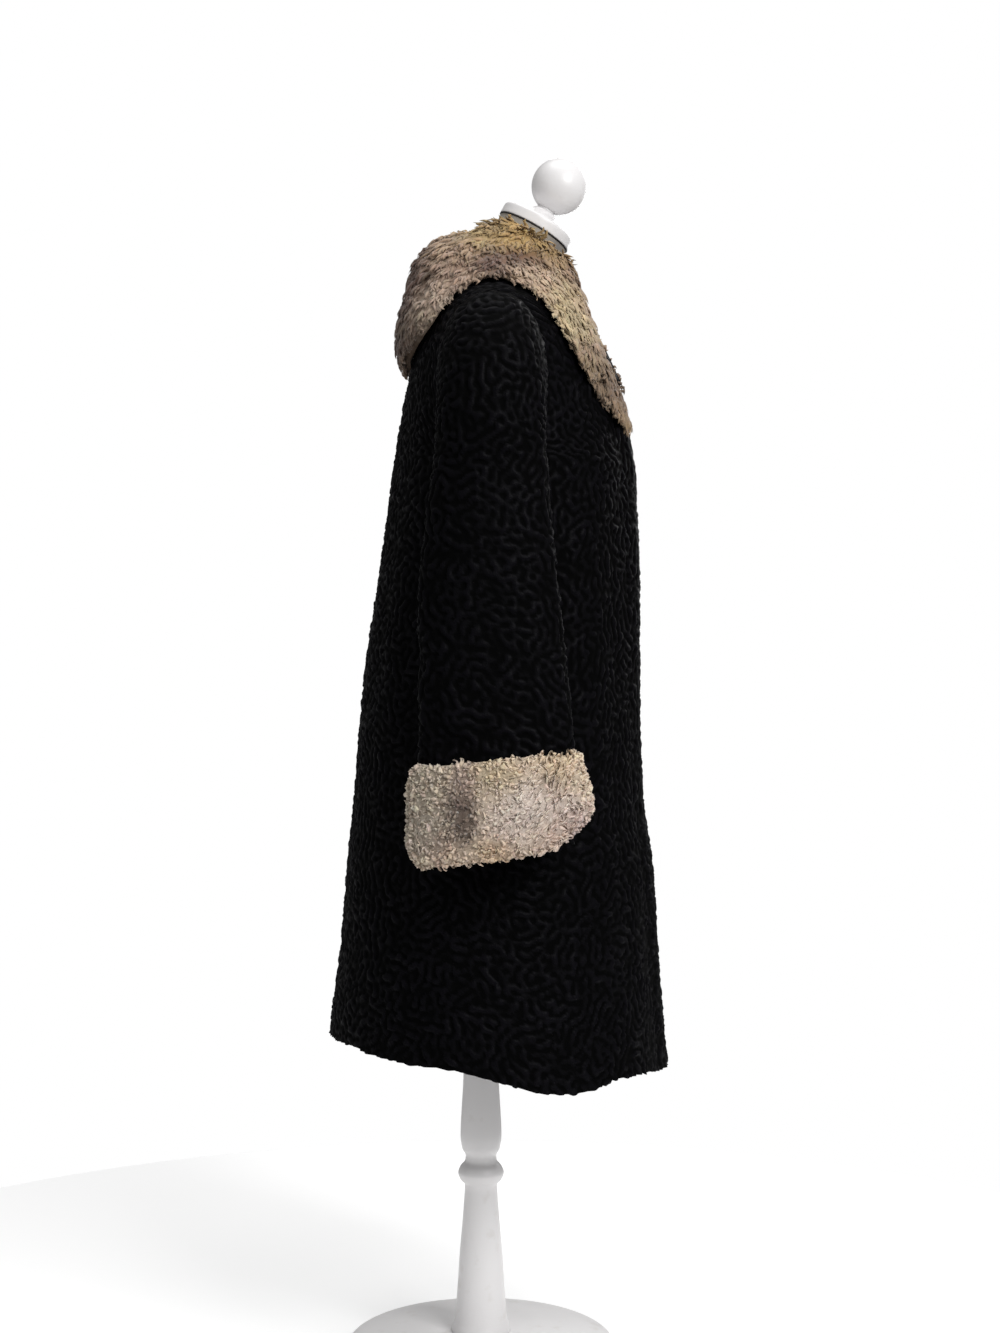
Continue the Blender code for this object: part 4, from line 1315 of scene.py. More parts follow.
@dataclass
class Roots:
    """Where locks grow: place, outward normal, lie and share across and along the fur."""

    spots: Array
    normals: Array
    lies: Array
    across: Array
    along: Array

    def mirrored(self, side: Side) -> Roots:
        """The same roots, from the left to a side."""
        moved = (part * side.mirror for part in (self.spots, self.normals, self.lies))
        return Roots(*moved, self.across, self.along)


def sown(outer: Array, normals: Array, lies: Array, count: int, start: float) -> Roots:
    """Spread roots evenly over a grid's area.

    Args:
        outer: Grid of points.
        normals: Their outward normals.
        lies: Direction that the fur lies in at each.
        count: Number of roots.
        start: Where the even sequence starts.

    Returns:
        The roots, with their grid place as shares across (rows) and along (columns).
    """
    rows, columns = outer.shape[:2]
    sides = np.diff(outer, axis=0)[:, :-1], np.diff(outer, axis=1)[:-1]
    area = np.linalg.norm(np.cross(*sides), axis=-1)
    place = (start + np.outer(np.arange(1, count + 1), GOLDEN)) % 1.0
    by_row = np.concatenate([[0.0], np.cumsum(area.sum(axis=1))])
    row = np.interp(place[:, 0] * by_row[-1], by_row, np.arange(rows))
    by_column = np.concatenate([np.zeros((rows - 1, 1)), np.cumsum(area, axis=1)], axis=1)
    chosen = by_column[np.minimum(row.astype(int), rows - 2)]
    wanted = place[:, 1] * chosen[:, -1]
    column = np.array([np.interp(w, c, np.arange(columns)) for w, c in zip(wanted, chosen)])
    spots, normals, lies = (between(grid, row, column) for grid in (outer, normals, lies))
    return Roots(spots, unit(normals), unit(lies), row / (rows - 1), column / (columns - 1))


def lock_copies(name: str, count: int) -> tuple[bpy.types.Mesh, Array]:
    """Repeat one tapered lock of fur, a three-sided cone cut into lengths.

    Args:
        name: The mesh's name.
        count: How many locks.

    Returns:
        The mesh, and one lock's corners: ring x and y at radius 1, and height 0 to 1.
    """
    bm = bmesh.new()
    bmesh.ops.create_cone(bm, cap_ends=False, segments=3, radius1=1.0, radius2=0.0, depth=1.0)
    bmesh.ops.translate(bm, verts=bm.verts, vec=(0.0, 0.0, 0.5))
    bmesh.ops.remove_doubles(bm, verts=bm.verts, dist=1e-5)
    for cut in range(1, LOCK_LENGTHS):
        bmesh.ops.bisect_plane(bm, geom=bm.verts[:] + bm.edges[:] + bm.faces[:], dist=1e-6,
                               plane_co=(0.0, 0.0, cut / LOCK_LENGTHS), plane_no=(0.0, 0.0, 1.0))
    single = poured(f"{name}_one", bm)
    one = places(single)
    ring = one[:, :2] / np.maximum(1.0 - one[:, 2:], 1e-6)
    ring[one[:, 2] > TIP] = 0.0
    holder = bpy.data.objects.new(f"{name}_holder", single)
    bpy.context.scene.collection.objects.link(holder)
    row = holder.modifiers.new("row", "ARRAY")
    row.count = count
    row.use_relative_offset, row.use_constant_offset = False, True
    row.constant_offset_displace = (3.0, 0.0, 0.0)
    graph = bpy.context.evaluated_depsgraph_get()
    mesh = bpy.data.meshes.new_from_object(holder.evaluated_get(graph))
    mesh.name = name
    bpy.data.objects.remove(holder)
    return mesh, np.concatenate([ring, one[:, 2:]], axis=1)


@dataclass
class Growth:
    """How locks grow from their roots; each list holds a number for every root."""

    length: Array
    width: Array
    lean: Array
    wave: Array
    phase: Array
    turns: Array | None = None
    curl_size: Array | None = None
    softness: float = 0.3           # how far the skin's normal, over the lock's own, turns shading


def grown(name: str, roots: Roots, growth: Growth, tint: Array,
          material: bpy.types.Material) -> bpy.types.Object:
    """Grow every lock.

    Args:
        name: The piece's name.
        roots: Where the locks stand.
        growth: Their sizes.
        tint: A linear colour for each lock.
        material: The fur's material.

    Returns:
        One object of all the locks.
    """
    count = len(roots.spots)
    mesh, one = lock_copies(name, count)
    corners = len(one)
    height = one[:, 2][None, :]
    aside = np.cross(roots.normals, roots.lies)
    length, width, lean, wave, phase = (values[:, None] for values in (
        growth.length, growth.width, growth.lean, growth.wave, growth.phase))
    run = length * np.cos(lean) * height ** 1.15
    rise = length * np.sin(lean) * np.sin(height * math.pi * 0.68)
    sway = wave * np.sin(TURN * 1.15 * height + phase) * height ** 0.7
    wide, deep, flat = aside, roots.normals, 0.50
    if growth.turns is not None:
        turn = TURN * growth.turns[:, None] * height + phase
        loop = growth.curl_size[:, None] * (1.0 - 0.45 * height)
        run = run + loop * (np.cos(turn) - np.cos(phase))
        sway = sway + loop * (np.sin(turn) - np.sin(phase))
        wide, deep, flat = roots.lies, unit(roots.normals + 0.6 * aside), 1.0
    middle = roots.spots[:, None, :] + sum(
        far[..., None] * way[:, None, :]
        for far, way in ((run, roots.lies), (rise, roots.normals), (sway, aside)))
    girth = width * (0.62 + 1.55 * height * (1.0 - height)) * (1.0 - height ** 3)
    ring = one[None, :, :1] * wide[:, None, :] + flat * one[None, :, 1:2] * deep[:, None, :]
    spots = middle + girth[..., None] * ring
    mesh.vertices.foreach_set("co", spots.astype(np.float32).ravel())
    carry(mesh, "tint", np.repeat(tint, corners, axis=0))
    carry(mesh, "along", np.broadcast_to(height, (count, corners)).ravel().copy())
    strand = np.tile(one * np.array([1.0, 1.0, 0.9]), (count, 1))
    strand[:, 0] += np.repeat(np.arange(count) * 3.37 % 211.0, corners)
    carry(mesh, "strand", strand)
    mesh.update()
    made = dressed(name, mesh, material)
    softened(mesh, np.repeat(roots.normals, corners, axis=0), growth.softness)
    return made


def softened(mesh: bpy.types.Mesh, outward: Array, softness: float, least: float = 0.30) -> None:
    """Turn a pile's shading towards its skin's, so that it reads as one soft surface.

    Args:
        mesh: The pile.
        outward: The skin's normal at each corner.
        softness: Weight of the skin's normal against the lock's own.
        least: How far the shading agrees with each face at the least.
    """
    own = read(mesh.vertex_normals, "vector", 3, np.float32)
    faces = read(mesh.polygon_normals, "vector", 3, np.float32)
    face = np.repeat(faces, read(mesh.polygons, "loop_total"), axis=0)
    facing = unit(own + softness * outward)[read(mesh.loops, "vertex_index")]
    agree = np.einsum("ij,ij->i", facing, face)
    facing = unit(facing + np.maximum(least - agree, 0.0)[:, None] * face)
    mesh.normals_split_custom_set(facing)


@dataclass
class FurCollar:
    """The long pale shawl collar: a skin with wavy locks that fall from the roll."""

    locks: int = 5900                       # on each half
    tufts: float = 0.38                     # share of the locks that are broad tufts
    tuft_length: tuple[float, float] = (0.0150, 0.0240)
    tuft_girth: tuple[float, float] = (0.0030, 0.0047)
    tuft_lean: tuple[float, float] = (0.12, 0.28)
    tuft_wave: tuple[float, float] = (0.0018, 0.0040)
    wisp_length: tuple[float, float] = (0.0100, 0.0170)
    wisp_girth: tuple[float, float] = (0.0016, 0.0027)
    wisp_lean: tuple[float, float] = (0.18, 0.42)
    wisp_wave: tuple[float, float] = (0.0012, 0.0028)
    roll: float = 0.16                      # share of the fur inside the roll at the neck
    roll_length: float = 0.0080             # of the locks there
    skin_inset: float = 0.0019
    root_depth: float = 0.0052
    tip_shallow: float = 0.40               # how much nearer the top the tips' locks start
    lapel_dent: float = 0.45                # share of their thickness that is pressed flat
    drift: float = 0.30                     # how far locks stray from their lie
    swirl: float = 0.62                     # how far whole tufts of them turn aside
    swirl_size: float = 0.034
    droop: float = 0.75                     # how far the fall's locks turn straight down
    clump: float = 0.0145                   # size of the pile's waves
    clump_depth: float = 0.0021
    ragged_size: float = 0.020              # size of the free edge's waves
    ragged_depth: float = 0.0035
    relief_shading_size: float = 0.042                # size of the painted light and shade of ridges and valleys in the pile
    gain: float = 0.92                      # factor on the locks' tints
    edge_share: float = 0.975
    fall_length: float = 0.150
    hug: float = 0.012                      # the fall's back settles this far on to the coat
    seed: int = 5
    folds: tuple[Crease, ...] = creases(
        (98, 44, 1412, 128, 78, 1300, 5.2, 11), (112, -5, 1400, 150, 30, 1345, 2.8, 10),
        (100, -80, 1388, 150, -98, 1310, 2.4, 11), (60, -130, 1330, 110, -150, 1235, 2.2, 10),
        (20, 60, 1400, 45, 104, 1270, 3.0, 13), (-60, 24, 1428, 100, 6, 1424, 10.0, 24, 0.0),
        (-100, 88, 1350, 140, 70, 1345, 5.0, 26, 0.0),
        (40, -12, 1424, 78, -56, 1414, -6.5, 20, 0.0),
    )
    tints: Tints = Tints((172, 150, 128), 0.10, (
        (-35, 1405, 20, 190, 158, 104), (-70, 1400, 22, 196, 166, 112),
        (-95, 1385, 18, 176, 148, 108), (-10, 1402, 22, 178, 156, 116),
        (-45, 1372, 13, 80, 46, 42), (-70, 1372, 13, 82, 48, 44), (-15, 1362, 14, 116, 91, 82),
        (20, 1372, 16, 166, 141, 119), (-85, 1350, 20, 202, 178, 152),
        (-60, 1345, 14, 190, 168, 146), (-118, 1362, 16, 128, 102, 88),
        (-105, 1325, 18, 206, 188, 150), (-128, 1318, 18, 186, 160, 140),
        (-120, 1290, 20, 204, 188, 150), (-145, 1275, 20, 160, 138, 122),
        (-140, 1245, 22, 148, 128, 104), (-165, 1225, 20, 108, 90, 76),
        (-180, 1195, 18, 138, 116, 94), (-185, 1172, 14, 164, 140, 108),
        (45, 1380, 16, 192, 167, 143), (35, 1345, 20, 170, 146, 130),
        (52, 1318, 18, 190, 171, 154), (70, 1385, 18, 92, 69, 62), (85, 1350, 20, 102, 79, 71),
        (95, 1315, 18, 94, 75, 70), (72, 1290, 18, 174, 156, 139), (100, 1275, 20, 88, 71, 66),
        (98, 1245, 14, 130, 111, 94),
    ))

    def surfaces(self) -> tuple[Array, Array, Array]:
        """Find the left half's surfaces, rested on the coat.

        Returns:
            Outer points, outward normals and inner points.
        """
        s, t = mesh_of(np.linspace(0.0, 9.0, 91), np.linspace(0.0, 1.0, 51))
        outer = collar_surface(s, t)
        normals = grid_normals(outer)
        normals[0, :, 0] = 0.0
        normals = unit(normals)
        thick = np.interp(t, COLLAR_ACROSS, COLLAR_THICK)
        inner = outer - normals * thick[..., None]
        inner = self.rested(inner, 0.5 * COLLAR_CLEAR, self.hug * ease(t, 0.4, 0.75))
        outer = self.rested(outer, COLLAR_LEAST, 0.0 * t)
        outer = outer + normals * sum(fold.lift(outer) for fold in self.folds)[..., None]
        outer = outer - normals * (self.lapel_dent * thick * ease(s, 6.0, 7.4))[..., None]
        for grid in (outer, inner):
            grid[..., 0] = np.maximum(grid[..., 0], SEAM_GAP)
            grid[0, :, 0] = 0.0
        return outer, normals, inner

    @staticmethod
    def rested(spots: Array, room: float, settle: Array) -> Array:
        """Move points out over the coat, or in towards it.

        Args:
            spots: Grid of points.
            room: Least height over the coat.
            settle: How far each point may sink to that height.

        Returns:
            The grid, moved.
        """
        v, u = mesh_of(np.linspace(0.9, 2.0, 60), np.linspace(0.0, 1.0, 40))
        back, front = body_surface(v, u, True), body_surface(v, u, False)
        back_out, front_out = grid_normals(back), -grid_normals(front)
        front = front + front_out * LAP_RISE * (front[..., :1] < -LAP_BLEND[0])
        floor = np.concatenate([back.reshape(-1, 3), front.reshape(-1, 3)])
        out = np.concatenate([back_out.reshape(-1, 3), front_out.reshape(-1, 3)])
        flat = spots.reshape(-1, 3).copy()
        for index, (spot, sink) in enumerate(zip(spots.reshape(-1, 3), settle.reshape(-1))):
            gaps = spot - floor
            near = int(np.argmin(np.einsum("ij,ij->i", gaps, gaps)))
            flat[index] = spot + out[near] * max(room - float(gaps[near] @ out[near]), -float(sink))
        return flat.reshape(spots.shape)

    def build(self) -> list[bpy.types.Object]:
        """Build the skin and its locks.

        Returns:
            The skin and the locks.
        """
        outer, normals, inner = self.surfaces()
        fur = PaleFur("shaggy_pale_fur").material()
        locks = [self.pile(outer, normals, side, fur) for side in Side]
        skin = self.skin(outer, normals, inner)
        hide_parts("fur_collar")
        return settled([skin, *locks])

    def skin(self, outer: Array, normals: Array, inner: Array) -> bpy.types.Object:
        """Build the closed skin, its edges a little short of the fur's.

        Args:
            outer: Outer points of the left half.
            normals: Their outward normals.
            inner: Inner points.

        Returns:
            The skin.
        """
        thick = np.linalg.norm(outer - inner, axis=-1, keepdims=True)
        low = outer - normals * np.minimum(self.skin_inset, 0.4 * thick)
        across, round_neck = mesh_of(np.linspace(0.02, self.edge_share, 26) * (outer.shape[1] - 1),
                                     np.linspace(0.0, 0.985, 61) * (outer.shape[0] - 1))
        top, under = between(low, round_neck, across), between(inner, round_neck, across)
        skins = {side.value: Skin(top * side.mirror, under * side.mirror, np.zeros(across.shape))
                 for side in Side}
        rows, columns = across.shape[0] - 1, across.shape[1] - 1
        finishes = (FurSkin("pale_collar_underfur").material(), Lining().material())
        made = walled("collar_skin", slab(rows, -columns, columns, ratio=1), skins, finishes)
        carry(made.data, "tint", self.tints.at(places(made.data)))
        return made

    def pile(self, outer: Array, normals: Array, side: Side,
             fur: bpy.types.Material) -> bpy.types.Object:
        """Grow the wavy locks of one half.

        Args:
            outer: Outer points of the left half.
            normals: Their outward normals.
            side: The half.
            fur: The locks' finish.

        Returns:
            One object of all the half's locks.
        """
        rng = np.random.default_rng(self.seed + int(side.value))
        roots = sown(outer, normals, np.gradient(outer, axis=1), self.locks,
                     0.35 - 0.22 * side.value).mirrored(side)
        count = len(roots.spots)
        in_roll = roots.along < self.roll
        inward = np.where(in_roll, -1.0 + 0.5 * ease(roots.across, 0.6, 0.75), 1.0)[:, None]
        down = np.maximum(ease(roots.along, 0.2, 0.6), ease(roots.across, 0.55, 0.75))
        down = np.array([0.0, 0.0, -self.droop]) * down[:, None]
        drift = rng.normal(0.0, self.drift, count)[:, None]
        swirl = self.swirl * ripple(roots.spots, self.swirl_size, 3)[:, None]
        clumps = ripple(roots.spots, self.clump, 4)
        aside = np.cross(roots.normals, roots.lies)
        lies = roots.lies * inward + down + aside * (drift + swirl)
        lies = lies - roots.normals * np.einsum("ij,ij->i", lies, roots.normals)[:, None]
        roots.lies = unit(lies)
        room = 0.42 * np.interp(roots.along, COLLAR_ACROSS, COLLAR_THICK)
        tip = ease(roots.across, 0.62, 0.80)
        depth = np.minimum(self.root_depth, room + 0.0015)
        depth = depth * (1.0 - self.tip_shallow * tip * ease(roots.along, 0.35, 0.70))
        roots.spots = roots.spots - roots.normals * (depth - self.clump_depth * clumps)[:, None]
        broad = rng.random(count) < self.tufts

        def drawn(tuft: tuple[float, float], wisp: tuple[float, float]) -> Array:
            """A number for each lock, between a tuft's or a wisp's limits."""
            return np.where(broad, rng.uniform(*tuft, count), rng.uniform(*wisp, count))

        reach = drawn(self.tuft_length, self.wisp_length)
        ragged = 0.0030 + 0.0050 * ease(roots.across, 0.2, 0.5)
        ragged = ragged + self.ragged_depth * ripple(roots.spots, self.ragged_size, 6)
        ragged = np.maximum(ragged, 0.0025)
        reach = np.minimum(reach, (1.0 - roots.along) * self.fall_length + ragged)
        reach = np.where(in_roll, np.minimum(reach, self.roll_length), reach)
        low = (0.35 + 0.65 * ease(roots.along, 0.10, 0.26)) * (1.0 - 0.4 * tip)
        growth = Growth(reach, drawn(self.tuft_girth, self.wisp_girth),
                        drawn(self.tuft_lean, self.wisp_lean) * low,
                        drawn(self.tuft_wave, self.wisp_wave), rng.uniform(0.0, TURN, count))
        # painted light and shade: locks on the raised clumps are lighter, and waves of lighter
        # ridges and darker valleys
        relief_shading = 1.0 + 0.09 * clumps + 0.08 * ripple(roots.spots, self.relief_shading_size, 9)
        tint = self.tints.at(roots.spots) * self.gain
        tint = tint * (relief_shading * rng.lognormal(0.0, 0.09, count))[:, None]
        tint = held_back(tint * rng.normal(1.0, 0.02, (count, 3)))
        return grown(f"collar_locks_{side.word}", roots, growth, tint, fur)


@dataclass
class FurCuff:
    """A turned-back cuff of tightly curled pale fur."""

    side: Side
    bottom: float = 0.654
    top: float = 0.768
    front_lift: float = 0.10
    in_x: float = 0.2440
    out_x: float = 0.3430
    back_y: float = 0.0810
    front_y: float = -0.1290
    thin_side: float = 0.3
    room: float = 0.0020
    corner_rise: float = 0.020      # the fur is worn away at the lower front corner
    corner_size: float = 0.030
    rim_rise: float = 0.035         # further rise of the lower rim for each metre forwards
    corner_in: float = 0.011        # how far the upper front corner draws back
    corner_drop: float = 0.0045     # and how far it sinks
    back_in: float = 0.008          # how far the back's rims draw in
    skin_inset: float = 0.0021
    skin_rim: float = 0.0175        # share of the height by which the skin is short of each rim
    curls: int = 3650
    curl_length: tuple[float, float] = (0.0045, 0.0070)
    curl_girth: tuple[float, float] = (0.0028, 0.0041)
    curl_lean: tuple[float, float] = (0.30, 0.66)
    curl_size: tuple[float, float] = (0.0019, 0.0028)
    wispy_y: float = -0.075         # longer wisps grow round this place in front
    wispy_reach: float = 0.045
    wispy_share: float = 0.7        # of them that lie one way
    wispy_turn: tuple[float, float] = (-2.45, 0.35)     # that way's middle and spread
    root_depth: float = 0.0046
    clump: float = 0.011
    clump_depth: float = 0.0012
    gain: float = 1.58              # the pile shades itself, so its tints are raised
    seed: int = 21
    tints: Tints = Tints((200, 184, 165), 0.25, (
        (58, 745, 26, 168, 159, 145), (66, 690, 26, 168, 160, 149), (20, 715, 15, 56, 37, 41),
        (17, 690, 14, 44, 27, 31), (18, 742, 14, 152, 134, 126), (40, 672, 14, 164, 144, 132),
        (-12, 752, 13, 180, 166, 140), (-34, 748, 13, 186, 170, 142),
        (-56, 715, 26, 224, 212, 204), (-30, 690, 20, 212, 199, 190),
        (-86, 760, 18, 196, 178, 152), (-108, 748, 16, 196, 181, 163),
        (-78, 738, 10, 160, 144, 132), (-100, 705, 18, 194, 181, 175),
        (-112, 690, 14, 162, 140, 136), (-52, 699, 6.5, 112, 98, 100),
        (-80, 680, 16, 194, 176, 166), (-20, 668, 14, 176, 150, 120),
    ))

    def ring(self, angle: Array, inset: Array, height: Array) -> Array:
        """Find outer points of the left cuff.

        Args:
            angle: Angle round the arm.
            inset: How far in from the widest ring.
            height: 0 at the lower rim to 1 at the upper one.

        Returns:
            The points.
        """
        low_x, high_x = self.in_x + self.thin_side * inset, self.out_x - inset
        middle_y = (self.back_y + self.front_y) / 2.0
        half_y = (self.back_y - self.front_y) / 2.0 - inset
        cosine = signed_power(np.cos(angle), SLEEVE_FULLNESS)
        x = (low_x + high_x) / 2.0 - (high_x - low_x) / 2.0 * cosine
        y = middle_y + half_y * signed_power(np.sin(angle), SLEEVE_FULLNESS)
        ahead, low = middle_y - y, 1.0 - ease(height, 0.0, 0.6)
        corner = np.exp(-(((y - self.front_y) / self.corner_size) ** 2)) * low
        forward = ease(ahead, 0.03, 0.105)
        z = self.bottom + (self.top - self.bottom) * height + self.front_lift * ahead
        z = z + self.corner_rise * corner + self.rim_rise * np.maximum(ahead, -0.04) * low
        z = z - self.corner_drop * forward * ease(height, 0.5, 1.0)
        rims = ease(height, 0.35, 1.0) + 0.7 * (1.0 - ease(height, 0.0, 0.3))
        y = y + self.corner_in * forward * rims
        rims = 1.0 - ease(height, 0.0, 0.25) + 0.5 * ease(height, 0.8, 1.0)
        y = y - self.back_in * ease(y - middle_y, 0.05, 0.105) * rims
        return points(x, y, z)

    def build(self) -> list[bpy.types.Object]:
        """Build the cuff's skin and curls.

        Returns:
            The skin and the curls.
        """
        skin, curls, word = self.skin(), self.pile(), self.side.word
        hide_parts(f"fur_cuff_{word}")
        return settled([skin, curls])

    def outer(self, angles: Array, v: Array, inset: float) -> Array:
        """Find a grid of the cuff's outer surface.

        Args:
            angles: Angles round the arm.
            v: 0 at the lower rim to 1 at the upper one.
            inset: How far in the surface is moved.

        Returns:
            The grid.
        """
        profile = smooth(CUFF_PROFILE, v)
        short = self.skin_rim if inset else 0.0
        angle, height = mesh_of(angles, profile[:, 0] * (1.0 - 2.0 * short) + short)
        return self.ring(angle, np.broadcast_to(profile[:, 1], angle.shape) + inset, height)

    def skin(self) -> bpy.types.Object:
        """Build the closed ring that the curls grow from.

        Returns:
            The skin.
        """
        angles = np.linspace(0.0, TURN, 73)
        outer = self.outer(angles, np.linspace(0.0, 1.0, 17), self.skin_inset)
        level = SLEEVE_RINGS[SLEEVE_STRAIGHT:]
        s = np.interp(-outer[..., 2], -level[:, 3], level[:, 0])
        inner = sleeve_surface(s, np.broadcast_to(angles[:, None], s.shape))
        inner = inner - grid_normals(inner) * self.room * self.wound(inner)
        inner[..., 2] = outer[..., 2]
        loop = np.concatenate([outer, inner[:, ::-1], outer[:, :1]], axis=1)
        loop[-1] = loop[0]
        mesh = wrapped("cuff_skin", loop * self.side.mirror)
        carry(mesh, "tint", self.tints.at(places(mesh)))
        fur = FurSkin(f"pale_cuff_underfur_{self.side.word}").material()
        return dressed(f"cuff_skin_{self.side.word}", mesh, fur)

    @staticmethod
    def wound(grid: Array) -> float:
        """Sign that makes a tube's grid normals point in to its own middle."""
        middle = grid.mean(axis=(0, 1))
        return -1.0 if float(np.sum(grid_normals(grid) * (grid - middle))) > 0.0 else 1.0

    def pile(self) -> bpy.types.Object:
        """Grow the tight curls, on the outer side and round both rims.

        Returns:
            One object of all the curls.
        """
        rng = np.random.default_rng(self.seed + int(self.side.value))
        outer = self.outer(np.linspace(0.0, TURN, 121), np.linspace(0.0, 1.0, 33), 0.0)
        normals = grid_normals(outer) * -self.wound(outer)
        roots = sown(outer, normals, -np.gradient(outer, axis=1), self.curls, 0.31)
        count = len(roots.spots)
        clumps = ripple(roots.spots, self.clump, 8)
        wispy = np.exp(-(((roots.spots[:, 1] - self.wispy_y) / self.wispy_reach) ** 2))
        turn = np.where(rng.random(count) < self.wispy_share * wispy,
                        rng.normal(*self.wispy_turn, count),
                        rng.uniform(-math.pi, math.pi, count))[:, None]
        aside = np.cross(roots.normals, roots.lies)
        roots.lies = unit(roots.lies * np.cos(turn) + aside * np.sin(turn))
        depth = (self.root_depth - self.clump_depth * clumps)[:, None]
        roots.spots = roots.spots - roots.normals * depth
        roots = roots.mirrored(self.side)
        growth = Growth(
            length=rng.uniform(*self.curl_length, count) * (1.0 + 0.75 * wispy),
            width=rng.uniform(*self.curl_girth, count) * (1.0 + 0.05 * wispy),
            lean=rng.uniform(*self.curl_lean, count) * (1.0 - 0.40 * wispy),
            wave=np.zeros(count),
            phase=rng.uniform(0.0, TURN, count),
            turns=0.75 - 0.30 * wispy,
            curl_size=rng.uniform(*self.curl_size, count) * (1.0 - 0.25 * wispy),
            softness=0.5,
        )
        tint = self.tints.at(roots.spots) * self.gain
        # painted light and shade: curls on the raised clumps are lighter, those in the hollows
        # darker
        tint = tint * ((1.0 + 0.10 * clumps) * rng.lognormal(0.0, 0.08, count))[:, None]
        tint = held_back(tint * rng.normal(1.0, 0.02, (count, 3)))
        fur = PaleFur(f"curly_pale_fur_{self.side.word}", 0.86).material()
        return grown(f"cuff_curls_{self.side.word}", roots, growth, tint, fur)


# ---------------------------------------------------------------- the dress form
def swept(name: str, profile: Sequence[Sequence[float]], material: bpy.types.Material,
          steps: int, centre: Point = (0.0, 0.0, 0.0), tilt_deg: float = 0.0) -> bpy.types.Object:
    """Turn a profile about its axis.

    Args:
        name: The piece's name.
        profile: Radius and height of each corner, from the top down.
        material: Its finish.
        steps: Faces round the axis.
        centre: Where the profile's origin goes.
        tilt_deg: Lean forwards.

    Returns:
        The turned piece, its place in its mesh.
    """
    bm = bmesh.new()
    corners = [bm.verts.new((radius, 0.0, height)) for radius, height in profile]
    edges = [bm.edges.new(pair) for pair in zip(corners, corners[1:])]
    bmesh.ops.spin(bm, geom=corners + edges, cent=(0.0, 0.0, 0.0), axis=(0.0, 0.0, 1.0),
                   steps=steps, angle=TURN, use_merge=True)
    bmesh.ops.remove_doubles(bm, verts=bm.verts, dist=1e-5)
    bmesh.ops.recalc_face_normals(bm, faces=bm.faces)
    place = Matrix.Translation(centre) @ Matrix.Rotation(math.radians(tilt_deg), 4, "X")
    bmesh.ops.transform(bm, matrix=place, verts=bm.verts)
    made = dressed(name, poured(name, bm), material)
    made.data.set_sharp_from_angle(angle=SHARP_ANGLE)
    return made


